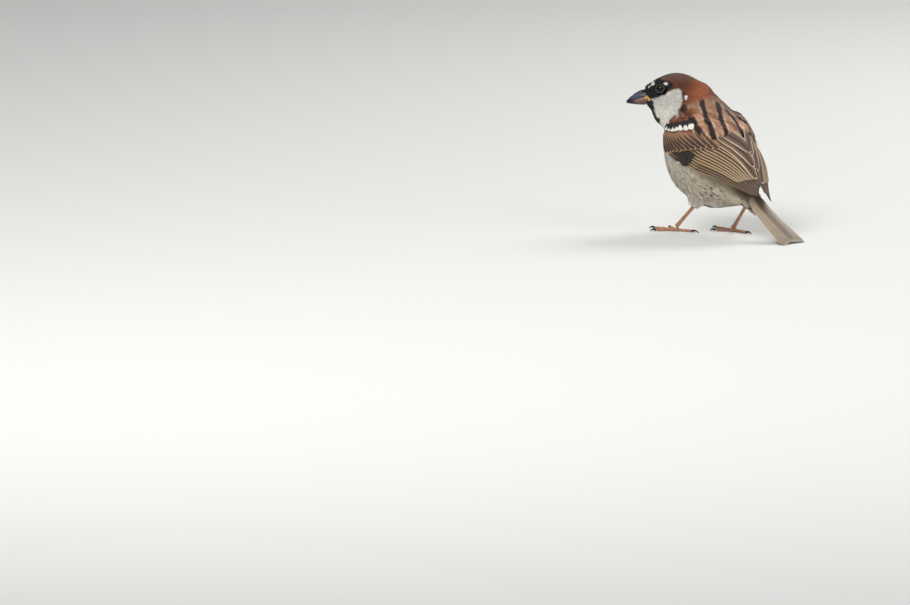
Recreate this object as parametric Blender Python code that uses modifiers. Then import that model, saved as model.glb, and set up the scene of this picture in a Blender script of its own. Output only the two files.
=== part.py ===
"""A male house sparrow, standing and looking over its left shoulder, as a life-size still model.

Sizes are in millimetres and are turned to metres where a mesh is made. The bird's bill end is
towards -X, its left side towards -Y and +Z is up. Z = 0 is the ground that it stands on.
"""
import math

import bmesh
import bpy
from mathutils import Matrix, Vector
from mathutils.bvhtree import BVHTree

MM = 0.001
GAP = 0.3  # clearance between neighbouring pieces
SIDES = {"left": -1.0, "right": 1.0}

# ---- head: centre, semi-axes (along, across, deep), lean of the long axis up towards the bill ----
HEAD_CENTRE = Vector((-22.0, -5.0, 82.5))
HEAD_TURN = 45.0  # degrees the head is turned to the bird's left
HEAD = Matrix.Translation(HEAD_CENTRE) @ Matrix.Rotation(math.radians(HEAD_TURN), 4, "Z")
HEAD_FORMS = {
    "cranium": ((2.0, 0.0, 0.0), (16.3, 11.4, 12.0), 0.0),
    "face": ((-9.8, 0.0, -1.6), (9.8, 7.2, 8.2), -18.0),
    "cheeks": ((-1.0, 0.0, -5.0), (12.0, 11.9, 9.0), 0.0),
    "throat": ((-1.5, 0.0, -11.0), (11.5, 10.5, 11.5), 0.0),
    "nape": ((10.3, 1.0, -4.0), (13.0, 11.5, 10.8), -30.0),
}
EYE_PLACE = (-7.8, 2.7)  # along and above the head's centre
EYE_RADIUS = 3.5
EYE_PROUD = 0.8  # how far the eyeball stands out of the feathers

# ---- bill, in the head's frame: distance ahead of the head's centre, half width, and the heights
# of its ridge, of the line where its halves meet, and of its keel ----
BILL_STATIONS = {
    "root": (13.6, 4.3, 1.2, -2.6, -6.8),
    "nostrils": (17.0, 4.2, 1.5, -2.4, -7.5),
    "feather_line": (19.6, 3.7, 1.1, -3.0, -7.6),
    "middle": (22.6, 2.7, -0.6, -4.0, -7.3),
    "fore": (25.6, 1.5, -2.9, -5.1, -6.9),
    "tip": (28.0, 0.45, -5.4, -6.0, -6.5),
}

# ---- trunk: for each station from the neck down to the tail, the point of its long axis (x, z),
# half width, and depths from that axis out to the back and to the breast ----
TRUNK_STATIONS = {
    "neck_top": ((-15.0, 81.0), 9.0, 8.0, 10.0),
    "neck": ((-10.5, 75.0), 15.5, 13.0, 17.0),
    "shoulders": ((-5.0, 66.0), 22.0, 20.0, 24.5),
    "breast": ((1.0, 54.5), 25.5, 26.0, 29.0),
    "belly": ((7.5, 43.0), 25.0, 25.0, 30.0),
    "lower_belly": ((15.0, 34.0), 20.5, 17.0, 23.0),
    "vent": ((25.5, 28.0), 13.5, 9.5, 12.0),
    "rump": ((38.5, 23.0), 9.0, 4.8, 5.0),
}
RING_POINTS = 40
RINGS_PER_STATION = 6
VOXEL = 1.4
SMOOTHING = 10
TRIANGLES = {"head": 1150, "neck": 300, "trunk": 1450}

# ---- thin cuts through the body: a point on the cut and its normal ----
HEAD_CUT = (Vector((-14.0, 0.5, 76.5)), Vector((-0.62, -0.30, 0.72)))
NECK_CUT = (Vector((-9.0, 0.0, 70.5)), Vector((-0.50, -0.12, 0.86)))
TAIL_ROOT = Vector((36.5, 0.0, 24.2))
TAIL_TIP = Vector((74.5, 0.0, 0.5))

# ---- tail: distance from its root, half width, half thickness ----
TAIL_STATIONS = ((0.0, 8.2, 4.5), (7.0, 8.0, 3.6), (15.0, 8.0, 2.2), (24.0, 8.7, 1.0), (44.8, 10.4, 0.6))
TAIL_NOTCH = 2.2  # how far the outer corners run past the middle feathers
TAIL_CAMBER = 1.1
TAIL_ROWS = 14
TAIL_COLUMNS = 8

# ---- left wing, folded: its back edge and its belly edge from the shoulder to the tip ----
WING_BACK_EDGE = (
    (-5, -19, 69),
    (7, -13, 68),
    (25, -4, 61.5),
    (36, -1.2, 50.5),
    (43.5, -1.0, 37),
    (49.5, -2.2, 28.0),
)
WING_BELLY_EDGE = (
    (-15, -21, 60),
    (-8, -25.5, 50),
    (6, -27, 42),
    (22, -21.5, 35),
    (37, -14.5, 29.5),
    (50.5, -7.2, 26),
)
WING_BULGE = (0.8, 3.6, 7.2, 7.4, 4.2, 0.4)  # how far its middle stands out between those edges
WING_THICKNESS = 1.7
WING_CLEAR = 0.7
WING_DROOP = {"left": 0.0, "right": 5.0}  # how far the tip hangs below its mate
WING_CROSS = {"left": 0.0, "right": 3.6}  # how far the tip is drawn in towards its mate
WING_ROWS = 20
WING_COLUMNS = 8
ROW_PITCH = 4.0  # roughly how far apart the rows and the columns are
# parts of the wing: first and last row, first and last column
WING_PARTS = {
    "shoulder": (0, 8, 0, 8),
    "secondaries": (8, 20, 0, 5),
    "primaries": (8, 20, 5, 8),
}

# ---- legs: knee, ankle and ball of the foot, and the way the middle toe points ----
LEGS = {
    "left": (Vector((9.0, -11.0, 36.0)), Vector((1.5, -11.0, 16.6)), Vector((-12.0, -12.0, 3.0)), 192.0),
    "right": (Vector((15.0, 10.0, 36.0)), Vector((25.0, 9.8, 17.6)), Vector((14.0, 10.5, 3.0)), 176.0),
}
THIGH_RADII = (3.0, 7.6, 6.8, 4.2, 2.2)
TARSUS_RADII = (1.5, 1.15, 1.05, 1.15, 1.4)
BALL_RADIUS = 2.4
BALL_HEIGHT = 2.2
# turn from the middle toe, length without the claw, radius at its root, claw length
TOES = {
    "middle": (0.0, 12.5, 0.95, 4.6),
    "inner": (38.0, 8.0, 0.9, 4.2),
    "outer": (-38.0, 9.5, 0.9, 4.0),
    "hind": (180.0, 7.5, 1.0, 5.8),
}
TOE_SIDES = 8
CLAW_SIDES = 6
THIGH_SIDES = 16
THIGH_RINGS = 8
TARSUS_RINGS = 8
ANKLE_OVERLAP = 3.0  # how far both parts of a leg run past the ankle before they are mitred


def clear_scene():
    for old in list(bpy.data.objects):
        bpy.data.objects.remove(old, do_unlink=True)


def make_material(name, colour, roughness):
    made = bpy.data.materials.new(name)
    made.use_nodes = True
    shader = made.node_tree.nodes["Principled BSDF"]
    shader.inputs["Base Color"].default_value = (*colour, 1.0)
    shader.inputs["Roughness"].default_value = roughness
    made.diffuse_color = (*colour, 1.0)
    return made


def add_part(name, mesh, material, collection):
    made = bpy.data.objects.new(name, mesh)
    mesh.name = name
    mesh.materials.clear()
    mesh.materials.append(material)
    mesh.shade_smooth()
    collection.objects.link(made)
    return made


def mesh_from(bm, name):
    bmesh.ops.recalc_face_normals(bm, faces=bm.faces)
    mesh = bpy.data.meshes.new(name)
    bm.to_mesh(mesh)
    bm.free()
    return mesh


def evaluated_mesh(obj):
    """The object's mesh with its modifiers applied."""
    bpy.context.view_layer.update()
    graph = bpy.context.evaluated_depsgraph_get()
    return bpy.data.meshes.new_from_object(obj.evaluated_get(graph))


def smooth_between(values, t):
    """Catmull-Rom value at t, where t runs from 0 to len(values) - 1."""
    last = len(values) - 1
    i = min(int(t), last - 1)
    f = t - i
    before, a, b, after = (values[max(0, min(last, j))] for j in (i - 1, i, i + 1, i + 2))
    return 0.5 * (
        2.0 * a
        + (b - before) * f
        + (2.0 * before - 5.0 * a + 4.0 * b - after) * f * f
        + (3.0 * (a - b) + after - before) * f**3
    )


def add_loft(bm, rings):
    """Closed skin through rings of equal length, with flat ends."""
    rows = [[bm.verts.new(Vector(p) * MM) for p in ring] for ring in rings]
    count = len(rows[0])
    for a, b in zip(rows, rows[1:]):
        for k in range(count):
            bm.faces.new((a[k], a[(k + 1) % count], b[(k + 1) % count], b[k]))
    bm.faces.new(reversed(rows[0]))
    bm.faces.new(rows[-1])


def tube_rings(line, radii, sides, floor=None):
    """Rings round a line of points; with a floor, the rings are flattened where they reach it."""
    rings = []
    for k, (here, radius) in enumerate(zip(line, radii)):
        ahead = line[min(k + 1, len(line) - 1)]
        behind = line[max(k - 1, 0)]
        along = (ahead - behind).normalized()
        level = along.cross(Vector((0.0, 0.0, 1.0)))
        across = level.normalized() if level.length > 0.01 else Vector((0.0, 1.0, 0.0))
        over = across.cross(along)
        ring = []
        for j in range(sides):
            angle = 2.0 * math.pi * (j + 0.5) / sides
            point = here + across * radius * math.cos(angle) + over * radius * math.sin(angle)
            if floor is not None:
                point.z = max(point.z, floor)
            ring.append(point)
        rings.append(ring)
    return rings


def tube_mesh(name, line, radii, sides, floor=None):
    bm = bmesh.new()
    add_loft(bm, tube_rings(line, radii, sides, floor))
    return mesh_from(bm, name)


def add_ellipsoid(bm, frame, centre, semi_axes, lean):
    """An ellipsoid whose long axis leans up towards the bill by the given degrees."""
    turn = Matrix.Rotation(math.radians(lean), 4, "Y")
    stretch = Matrix.Diagonal((*semi_axes, 1.0))
    placed = frame @ Matrix.Translation(Vector(centre)) @ turn @ stretch
    bmesh.ops.create_uvsphere(
        bm, u_segments=32, v_segments=20, radius=1.0, matrix=Matrix.Scale(MM, 4) @ placed
    )


def cut_away(obj, cutter):
    """Takes the cutter's shape out of the object, for good, and removes the cutter."""
    cut = obj.modifiers.new("cut", "BOOLEAN")
    cut.operation = "DIFFERENCE"
    cut.solver = "EXACT"
    cut.object = cutter
    material = obj.data.materials[0]
    mesh = evaluated_mesh(obj)
    obj.modifiers.clear()
    obj.data = mesh
    mesh.name = obj.name
    mesh.materials.clear()
    mesh.materials.append(material)
    mesh.polygons.foreach_set("material_index", [0] * len(mesh.polygons))
    bpy.data.objects.remove(cutter)


def make_cutter(mesh):
    cutter = bpy.data.objects.new("cutter", mesh)
    bpy.context.scene.collection.objects.link(cutter)
    cutter.hide_render = True
    cutter.display_type = "WIRE"
    return cutter


# ---- body --------------------------------------------------------------------------------------
def trunk_ring(t):
    """Ring of points round the trunk's axis at station t."""
    stations = list(TRUNK_STATIONS.values())
    axis = [Vector((x, 0.0, z)) for (x, z), *_ in stations]
    here = smooth_between(axis, t)
    ahead = smooth_between(axis, min(t + 0.05, len(axis) - 1.0))
    behind = smooth_between(axis, max(t - 0.05, 0.0))
    to_back = Vector((0.0, -1.0, 0.0)).cross((ahead - behind).normalized())
    width, back, breast = (
        smooth_between([station[k] for station in stations], t) for k in (1, 2, 3)
    )
    ring = []
    for k in range(RING_POINTS):
        angle = 2.0 * math.pi * k / RING_POINTS
        depth = back if math.cos(angle) > 0.0 else breast
        side = Vector((0.0, width * math.sin(angle), 0.0))
        ring.append(here + to_back * depth * math.cos(angle) + side)
    return ring


def soft_body():
    """Head, neck and trunk run together into one smooth closed body."""
    bm = bmesh.new()
    for centre, semi_axes, lean in HEAD_FORMS.values():
        add_ellipsoid(bm, HEAD, centre, semi_axes, lean)
    steps = (len(TRUNK_STATIONS) - 1) * RINGS_PER_STATION
    add_loft(bm, [trunk_ring(k / RINGS_PER_STATION) for k in range(steps + 1)])
    obj = bpy.data.objects.new("soft_body", mesh_from(bm, "soft_body"))
    bpy.context.scene.collection.objects.link(obj)
    remesh = obj.modifiers.new("run_together", "REMESH")
    remesh.mode = "VOXEL"
    remesh.voxel_size = VOXEL * MM
    smooth = obj.modifiers.new("soften", "SMOOTH")
    smooth.factor = 0.5
    smooth.iterations = SMOOTHING
    body = evaluated_mesh(obj)
    bpy.data.objects.remove(obj)
    return body


def thinned(mesh, triangles):
    """The same closed surface with fewer faces, fewest where it is flattest."""
    obj = bpy.data.objects.new("thinned", mesh)
    bpy.context.scene.collection.objects.link(obj)
    thin = obj.modifiers.new("thin_out", "DECIMATE")
    thin.ratio = triangles / sum(len(p.vertices) - 2 for p in mesh.polygons)
    made = evaluated_mesh(obj)
    bpy.data.objects.remove(obj)
    return made


def half_beyond(mesh, point, normal):
    """The closed part of a mesh on the side that the normal points to, half a gap off the cut."""
    bm = bmesh.new()
    bm.from_mesh(mesh)
    way = normal.normalized()
    cut = bmesh.ops.bisect_plane(
        bm,
        geom=bm.verts[:] + bm.edges[:] + bm.faces[:],
        plane_co=(point + way * GAP / 2.0) * MM,
        plane_no=way,
        clear_inner=True,
    )
    edges = [e for e in cut["geom_cut"] if isinstance(e, bmesh.types.BMEdge)]
    bmesh.ops.triangle_fill(bm, use_beauty=True, edges=edges)
    return mesh_from(bm, mesh.name)


def surface_of(mesh):
    """A search tree over the mesh's faces."""
    bm = bmesh.new()
    bm.from_mesh(mesh)
    tree = BVHTree.FromBMesh(bm)
    bm.free()
    return tree


def body_parts(whole):
    """Meshes of the head, neck and trunk, parted by thin cuts."""
    head_point, head_way = HEAD_CUT
    neck_point, neck_way = NECK_CUT
    head = half_beyond(whole, head_point, head_way)
    rest = half_beyond(whole, head_point, -head_way)
    neck = half_beyond(rest, neck_point, neck_way)
    trunk = half_beyond(rest, neck_point, -neck_way)
    trunk = half_beyond(trunk, TAIL_ROOT, TAIL_ROOT - TAIL_TIP)
    found = {"head": head, "neck": neck, "trunk": trunk}
    return {name: thinned(mesh, TRIANGLES[name]) for name, mesh in found.items()}


# ---- head pieces -------------------------------------------------------------------------------
def bill_half(name, upper, grow=0.0):
    """One half of the bill as a loft: a ridged arch over the line where the halves meet."""
    rings = []
    for ahead, width, ridge, meet, keel in BILL_STATIONS.values():
        meet += GAP / 2.0 if upper else -GAP / 2.0
        far = ridge if upper else keel
        outward = math.copysign(grow, far - meet)
        ring = []
        for k in range(13):
            angle = math.pi * k / 12.0
            across = math.cos(angle) * (width + grow)
            height = (abs(math.sin(angle)) ** 1.15) * (far - meet)
            ring.append(Vector((-ahead, across, meet + height + outward * math.sin(angle))))
        ring += [Vector((-ahead, -share * (width + grow), meet - outward)) for share in (0.6, 0.0, -0.6)]
        rings.append([HEAD @ p for p in ring])
    bm = bmesh.new()
    add_loft(bm, rings)
    return mesh_from(bm, name)


def eye_centre(side, skin):
    """Centre of an eyeball that stands a little out of the head's side."""
    along, above = EYE_PLACE
    start = HEAD @ Vector((along, side * 30.0, above))
    inward = HEAD.to_3x3() @ Vector((0.0, -side, 0.0))
    hit, normal, _, _ = skin.ray_cast(start * MM, inward)
    return hit / MM - normal * (EYE_RADIUS - EYE_PROUD)


def ball_mesh(name, centre, radius, segments=14):
    bm = bmesh.new()
    bmesh.ops.create_uvsphere(
        bm,
        u_segments=segments,
        v_segments=segments * 2 // 3,
        radius=radius * MM,
        matrix=Matrix.Translation(centre * MM),
    )
    return mesh_from(bm, name)


def make_head(mesh, skin, materials, collection):
    head = add_part("head", mesh, materials["crown"], collection)
    for label, side in SIDES.items():
        centre = eye_centre(side, skin)
        cut_away(head, make_cutter(ball_mesh("socket", centre, EYE_RADIUS + GAP)))
        add_part(f"eye_{label}", ball_mesh("eye", centre, EYE_RADIUS), materials["eye"], collection)
    for name, upper in (("bill_upper", True), ("bill_lower", False)):
        cut_away(head, make_cutter(bill_half("bill_room", upper, grow=GAP)))
        add_part(name, bill_half(name, upper), materials["bill"], collection)


# ---- wings -------------------------------------------------------------------------------------
def wing_point(row, column, label, skin):
    """A point of the folded wing's inner face, pushed clear of the body under it."""
    t = row / WING_ROWS * (len(WING_BACK_EDGE) - 1)
    back = smooth_between([Vector(p) for p in WING_BACK_EDGE], t)
    belly = smooth_between([Vector(p) for p in WING_BELLY_EDGE], t)
    share = column / WING_COLUMNS
    point = back.lerp(belly, share)
    outward = Vector((0.35, -0.9, 0.25)).normalized()
    point += outward * smooth_between(WING_BULGE, t) * math.sin(math.pi * share)
    point.z -= WING_DROOP[label] * (row / WING_ROWS) ** 2
    point.y += WING_CROSS[label] * (row / WING_ROWS) ** 4
    point.y *= -SIDES[label]
    near, normal, _, _ = skin.find_nearest(point * MM)
    height = (point - near / MM).dot(normal)
    if height < WING_CLEAR:
        point += normal * (WING_CLEAR - height)
    return point


def drawn_in(first, last):
    """Row or column numbers from first to last, with both ends drawn in by a share of a gap."""
    numbers = [float(k) for k in range(first, last + 1)]
    numbers[0] += GAP / ROW_PITCH
    numbers[-1] -= GAP / ROW_PITCH
    return numbers


def wing_part(name, span, label, skin):
    """One part of a wing: a sheet of rows and columns given its thickness."""
    first_row, last_row, first_column, last_column = span
    bm = bmesh.new()
    grid = []
    for row in drawn_in(first_row, last_row):
        line = []
        for column in drawn_in(first_column, last_column):
            line.append(bm.verts.new(wing_point(row, column, label, skin) * MM))
        grid.append(line)
    for a, b in zip(grid, grid[1:]):
        for k in range(len(a) - 1):
            corners = (a[k], a[k + 1], b[k + 1], b[k])
            bm.faces.new(corners if label == "left" else reversed(corners))
    mesh = bpy.data.meshes.new(name)
    bm.to_mesh(mesh)
    bm.free()
    return mesh


def make_wings(skin, materials, collection):
    for label in SIDES:
        for part, span in WING_PARTS.items():
            name = f"wing_{label}_{part}"
            wing = add_part(name, wing_part(name, span, label, skin), materials["wing"], collection)
            thick = wing.modifiers.new("thickness", "SOLIDIFY")
            thick.thickness = WING_THICKNESS * MM
            thick.offset = 1.0
            thick.use_even_offset = False


# ---- tail --------------------------------------------------------------------------------------
def make_tail(materials, collection):
    """The closed tail: a fan that thins from its coverts to a shallow notch at its end."""
    down = (TAIL_TIP - TAIL_ROOT).normalized()
    over = Vector((0.0, -1.0, 0.0)).cross(down)
    length = (TAIL_TIP - TAIL_ROOT).length
    distances = [station[0] for station in TAIL_STATIONS]
    rings = []
    for row in range(TAIL_ROWS + 1):
        distance = length * row / TAIL_ROWS
        k = max(i for i, d in enumerate(distances[:-1]) if d <= distance)
        share = (distance - distances[k]) / (distances[k + 1] - distances[k])
        width, half = (smooth_between([s[j] for s in TAIL_STATIONS], k + share) for j in (1, 2))
        ring = []
        for face in (1.0, -1.0):
            for column in range(TAIL_COLUMNS + 1):
                across = face * (2.0 * column / TAIL_COLUMNS - 1.0)
                round_edge = math.sqrt(max(0.0, 1.0 - abs(across) ** 3.0))
                height = face * half * max(round_edge, 0.25) - TAIL_CAMBER * across**2
                run = GAP / 2.0 + distance + TAIL_NOTCH * (across**2 - 1.0) * (distance / length) ** 6
                point = TAIL_ROOT + down * run + over * height + Vector((0.0, width * across, 0.0))
                point.z = max(point.z, 0.0)
                ring.append(point)
        rings.append(ring)
    bm = bmesh.new()
    add_loft(bm, rings)
    add_part("tail", mesh_from(bm, "tail"), materials["wing"], collection)


# ---- legs --------------------------------------------------------------------------------------
def spaced(line, count):
    """Evenly counted points along a smooth curve through the given ones."""
    return [smooth_between(line, (len(line) - 1) * k / (count - 1)) for k in range(count)]


def make_thigh(label, knee, ankle, joint_way, trunk, materials, collection):
    """The feathered shank, let into the trunk and mitred against the bare leg."""
    end = ankle + (ankle - knee).normalized() * ANKLE_OVERLAP
    line = spaced([knee, knee.lerp(end, 0.5), end], THIGH_RINGS)
    radii = spaced(THIGH_RADII, THIGH_RINGS)
    wide = [r + GAP for r in radii]
    cut_away(trunk, make_cutter(tube_mesh("thigh_room", line, wide, THIGH_SIDES)))
    name = f"thigh_{label}"
    mesh = half_beyond(tube_mesh(name, line, radii, THIGH_SIDES), ankle, -joint_way)
    add_part(name, mesh, materials["belly"], collection)


def make_toe(name, ball, heading, length, radius, claw, materials, collection):
    """A toe that lies on the ground and the claw that curves down from its end."""
    way = Vector((math.cos(heading), math.sin(heading), 0.0))
    start = Vector((ball.x, ball.y, 0.0)) + way * (BALL_RADIUS + GAP)
    swell = (0.8, 1.0, 0.84, 1.02, 0.82, 0.95, 0.75)  # pads along the toe
    count = len(swell)
    line = [
        start + way * length * k / (count - 1) + Vector((0.0, 0.0, radius * 0.86))
        for k in range(count)
    ]
    mesh = tube_mesh("toe", line, [radius * s for s in swell], TOE_SIDES, floor=0.0)
    add_part(f"toe_{name}", mesh, materials["leg"], collection)
    root = line[-1] + way * GAP
    rise = Vector((0.0, 0.0, 1.0))
    arc = [
        root
        + way * claw * (t - 0.12 * t * t)
        + rise * (0.55 * math.sin(math.pi * t) - (radius * 0.86 - 0.22) * t * t)
        for t in (0.0, 0.2, 0.4, 0.6, 0.8, 1.0)
    ]
    radii = [0.62 * (1.0 - t) ** 0.8 + 0.2 for t in (0.0, 0.2, 0.4, 0.6, 0.8, 1.0)]
    mesh = tube_mesh("claw", arc, radii, CLAW_SIDES, floor=0.0)
    add_part(f"claw_{name}", mesh, materials["claw"], collection)


def make_ball(label, ball, materials, collection):
    """The ball of the foot, flat below, where the toes meet."""
    bm = bmesh.new()
    stretch = Matrix.Diagonal((BALL_RADIUS, BALL_RADIUS, BALL_HEIGHT / 2.0, 1.0))
    middle = Matrix.Translation(Vector((ball.x, ball.y, BALL_HEIGHT / 2.0 - 0.15)))
    bmesh.ops.create_uvsphere(
        bm, u_segments=12, v_segments=8, radius=1.0, matrix=Matrix.Scale(MM, 4) @ middle @ stretch
    )
    for vert in bm.verts:
        vert.co.z = max(vert.co.z, 0.0)
    add_part(f"foot_{label}", mesh_from(bm, f"foot_{label}"), materials["leg"], collection)


def make_leg(label, trunk, materials, collection):
    knee, ankle, ball, heading = LEGS[label]
    way = (ball - ankle).normalized()
    joint_way = way + (ankle - knee).normalized()
    make_thigh(label, knee, ankle, joint_way, trunk, materials, collection)
    line = spaced([ankle - way * ANKLE_OVERLAP, ball], TARSUS_RINGS)
    radii = spaced(TARSUS_RADII, TARSUS_RINGS)
    name = f"tarsus_{label}"
    mesh = tube_mesh(name, line, radii, TOE_SIDES, floor=BALL_HEIGHT + GAP / 2.0)
    add_part(name, half_beyond(mesh, ankle, joint_way), materials["leg"], collection)
    make_ball(label, ball, materials, collection)
    side = SIDES[label]
    for toe, (turn, length, radius, claw) in TOES.items():
        angle = math.radians(heading + turn * side)
        make_toe(f"{label}_{toe}", ball, angle, length, radius, claw, materials, collection)


def stand_on_origin(parts):
    """Moves the meshes so that the origin is on the ground under the middle of the whole bird."""
    graph = bpy.context.evaluated_depsgraph_get()
    corners = [Vector(corner) for part in parts for corner in part.evaluated_get(graph).bound_box]
    low = Vector([min(c[k] for c in corners) for k in range(3)])
    high = Vector([max(c[k] for c in corners) for k in range(3)])
    middle = (low + high) / 2.0
    move = Matrix.Translation(Vector((-middle.x, -middle.y, -low.z)))
    for part in parts:
        part.data.transform(move)


def main():
    clear_scene()
    parts = bpy.data.collections.new("house_sparrow")
    bpy.context.scene.collection.children.link(parts)
    materials = {
        "crown": make_material("crown_feathers", (0.20, 0.07, 0.03), 0.85),
        "mantle": make_material("mantle_feathers", (0.26, 0.13, 0.07), 0.85),
        "belly": make_material("belly_feathers", (0.55, 0.52, 0.46), 0.9),
        "wing": make_material("wing_feathers", (0.22, 0.14, 0.09), 0.8),
        "bill": make_material("bill_horn", (0.05, 0.05, 0.06), 0.4),
        "eye": make_material("eye", (0.01, 0.008, 0.006), 0.08),
        "leg": make_material("leg_scales", (0.36, 0.17, 0.11), 0.55),
        "claw": make_material("claw_horn", (0.05, 0.03, 0.02), 0.4),
    }
    whole = soft_body()
    skin = surface_of(whole)
    meshes = body_parts(whole)
    make_head(meshes["head"], skin, materials, parts)
    add_part("neck", meshes["neck"], materials["mantle"], parts)
    trunk = add_part("trunk", meshes["trunk"], materials["belly"], parts)
    make_wings(skin, materials, parts)
    make_tail(materials, parts)
    for label in SIDES:
        make_leg(label, trunk, materials, parts)
    stand_on_origin(parts.objects)


main()
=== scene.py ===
# %% [markdown]
# # A house sparrow, feather by feather
#
# This lesson dresses the plain solids of a standing house sparrow as a museum model maker would:
# first one skin over the body, then the small body feathers in the order in which they overlap,
# then the quills of the wings and tail, and last the hard parts: eyes, bill, legs and claws.
#
# The solids come in as a fixed frame. They give every place and size used below, so that the
# dressed bird keeps the outline of the solids.

# %% The frame and its box
import math

import bmesh
import bpy
import numpy as np
from mathutils import Matrix, Vector
from mathutils.bvhtree import BVHTree
from mathutils.kdtree import KDTree


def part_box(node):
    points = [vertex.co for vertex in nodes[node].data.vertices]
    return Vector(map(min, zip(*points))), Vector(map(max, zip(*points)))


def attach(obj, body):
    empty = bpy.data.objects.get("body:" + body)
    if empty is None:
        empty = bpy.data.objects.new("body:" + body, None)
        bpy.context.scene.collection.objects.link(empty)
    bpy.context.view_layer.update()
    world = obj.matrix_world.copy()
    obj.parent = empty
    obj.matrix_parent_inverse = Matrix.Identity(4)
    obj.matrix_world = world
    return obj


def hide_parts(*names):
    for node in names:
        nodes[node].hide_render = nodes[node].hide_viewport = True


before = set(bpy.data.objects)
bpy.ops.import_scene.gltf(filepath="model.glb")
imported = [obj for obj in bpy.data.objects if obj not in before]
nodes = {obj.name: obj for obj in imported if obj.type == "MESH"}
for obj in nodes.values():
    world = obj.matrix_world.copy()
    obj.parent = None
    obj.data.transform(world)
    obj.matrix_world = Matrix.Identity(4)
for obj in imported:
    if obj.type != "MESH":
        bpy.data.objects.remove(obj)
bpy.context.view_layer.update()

# %% [markdown]
# A bird this small is easiest to think about in millimetres. We therefore work in the bird's own
# millimetres, with its bill end towards -X, its left side towards -Y and the ground at Z = 0, and
# turn to metres only when a mesh is made. The ball of the left foot fixes where those
# millimetres sit in the frame, and the two eyes fix the head, which is turned over the left
# shoulder.

# %% The bird's own millimetres
MM = 0.001
SIDES = {"left": -1.0, "right": 1.0}
LEFT_FOOT = np.array((-12.0, -12.0))  # the ball of the left foot


def box_middle(node):
    """Middle of a solid's box, in metres in the frame."""
    low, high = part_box(node)
    return np.array((low + high) / 2.0)


ORIGIN = box_middle("foot_left") - np.array((*LEFT_FOOT * MM, 0.0))
ORIGIN[2] = 0.0


def to_frame(points):
    """Bird millimetres to metres in the frame."""
    return np.asarray(points, float) * MM + ORIGIN


def to_bird(points):
    """Metres in the frame to bird millimetres."""
    return (np.asarray(points, float) - ORIGIN) / MM


EYES = {label: to_bird(box_middle(f"eye_{label}")) for label in SIDES}
across = EYES["right"] - EYES["left"]
HEAD_TURN = math.atan2(across[1], across[0]) - math.pi / 2.0
HEAD_AXES = np.array(
    (
        (math.cos(HEAD_TURN), math.sin(HEAD_TURN), 0.0),
        (-math.sin(HEAD_TURN), math.cos(HEAD_TURN), 0.0),
        (0.0, 0.0, 1.0),
    )
)  # towards the nape, towards the bird's right, and up
EYES_IN_HEAD = np.array((-6.53, 0.0, 1.99))  # the point midway between the eyes, from the head's centre
HEAD_CENTRE = (EYES["left"] + EYES["right"]) / 2.0 - EYES_IN_HEAD @ HEAD_AXES
EYE_SHIFT = np.array((-0.5, 0.0, 0.6))  # the eyes sit a touch further forward and up than their solids
EYES = {label: centre + EYE_SHIFT @ HEAD_AXES for label, centre in EYES.items()}


def to_head(points):
    """Bird millimetres to the head's own: back from its centre, right and up."""
    return (np.asarray(points, float) - HEAD_CENTRE) @ HEAD_AXES.T


def from_head(points):
    """The head's own millimetres back to the bird's."""
    return np.asarray(points, float) @ HEAD_AXES + HEAD_CENTRE


print("head turned by", round(math.degrees(HEAD_TURN), 1), "degrees, centre", HEAD_CENTRE.round(2))

# %% [markdown]
# Feather colours are mixed as a painter would name them, so we write them as display values and
# turn them to the linear values that a renderer works in. Two small helpers come up everywhere:
# a soft step between two values, and a smooth, repeatable ripple that stands in for chance where
# neighbouring points should stay alike.

# %% Paint and soft edges
def paint(red, green, blue):
    """Linear colour from display values of 0 to 255."""
    value = np.array((red, green, blue)) / 255.0
    return np.where(value <= 0.04045, value / 12.92, ((value + 0.055) / 1.055) ** 2.4)


BLACK = paint(30, 26, 28)
CHESTNUT = paint(94, 54, 38)
RUFOUS = paint(154, 84, 51)
CROWN_BROWN = paint(106, 84, 74)
CHEEK_GREY = paint(196, 194, 184)
WHITE = paint(232, 227, 216)
MANTLE_BROWN = paint(144, 107, 85)
MANTLE_PINK = paint(196, 146, 116)
CREAM = paint(226, 208, 178)
BREAST = paint(224, 221, 213)
BELLY = paint(230, 226, 217)
FLANK = paint(182, 167, 142)
RUMP = paint(138, 121, 103)
SMOKE = paint(84, 78, 74)
RIPPLE_WAVES, RIPPLE_TOP = 4, 2.8  # waves in a ripple, and the sum of them that counts as 1


def soft_step(low, high, value):
    """Changes softly from 0 at the low value to 1 at the high one, which may be the smaller."""
    share = np.clip((np.asarray(value, float) - low) / (high - low), 0.0, 1.0)
    return share * share * (3.0 - 2.0 * share)


def mixed(first, second, share):
    """The first colour where the share is 0, the second where it is 1."""
    share = np.asarray(share)[..., None]
    return first * (1.0 - share) + second * share


def ripple(points, size, seed):
    """Smooth value, mostly from -1 to 1, that changes over about the given size in millimetres."""
    rng = np.random.default_rng(seed)
    total = np.zeros(np.shape(points)[:-1])
    for _ in range(RIPPLE_WAVES):
        way = rng.normal(size=3)
        way *= 2.0 * math.pi / (size * rng.uniform(0.7, 1.5) * np.linalg.norm(way))
        total += np.sin(points @ way + rng.uniform(0.0, 2.0 * math.pi))
    return total / RIPPLE_TOP


def unit(vectors):
    """The same directions, each of length 1."""
    return vectors / np.maximum(np.linalg.norm(vectors, axis=-1, keepdims=True), 1e-9)


print("chestnut in linear values:", CHESTNUT.round(3))

# %% [markdown]
# The skin of a bird is thin and lies close under the plumage. It could be sculpted by hand, but the
# solids already have the outline, so the skin is run together from them: the flesh solids are
# swollen a little to close the thin cuts between them, remeshed into one surface and smoothed.
# Only the largest shell is kept, because small pockets inside have no use.

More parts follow.
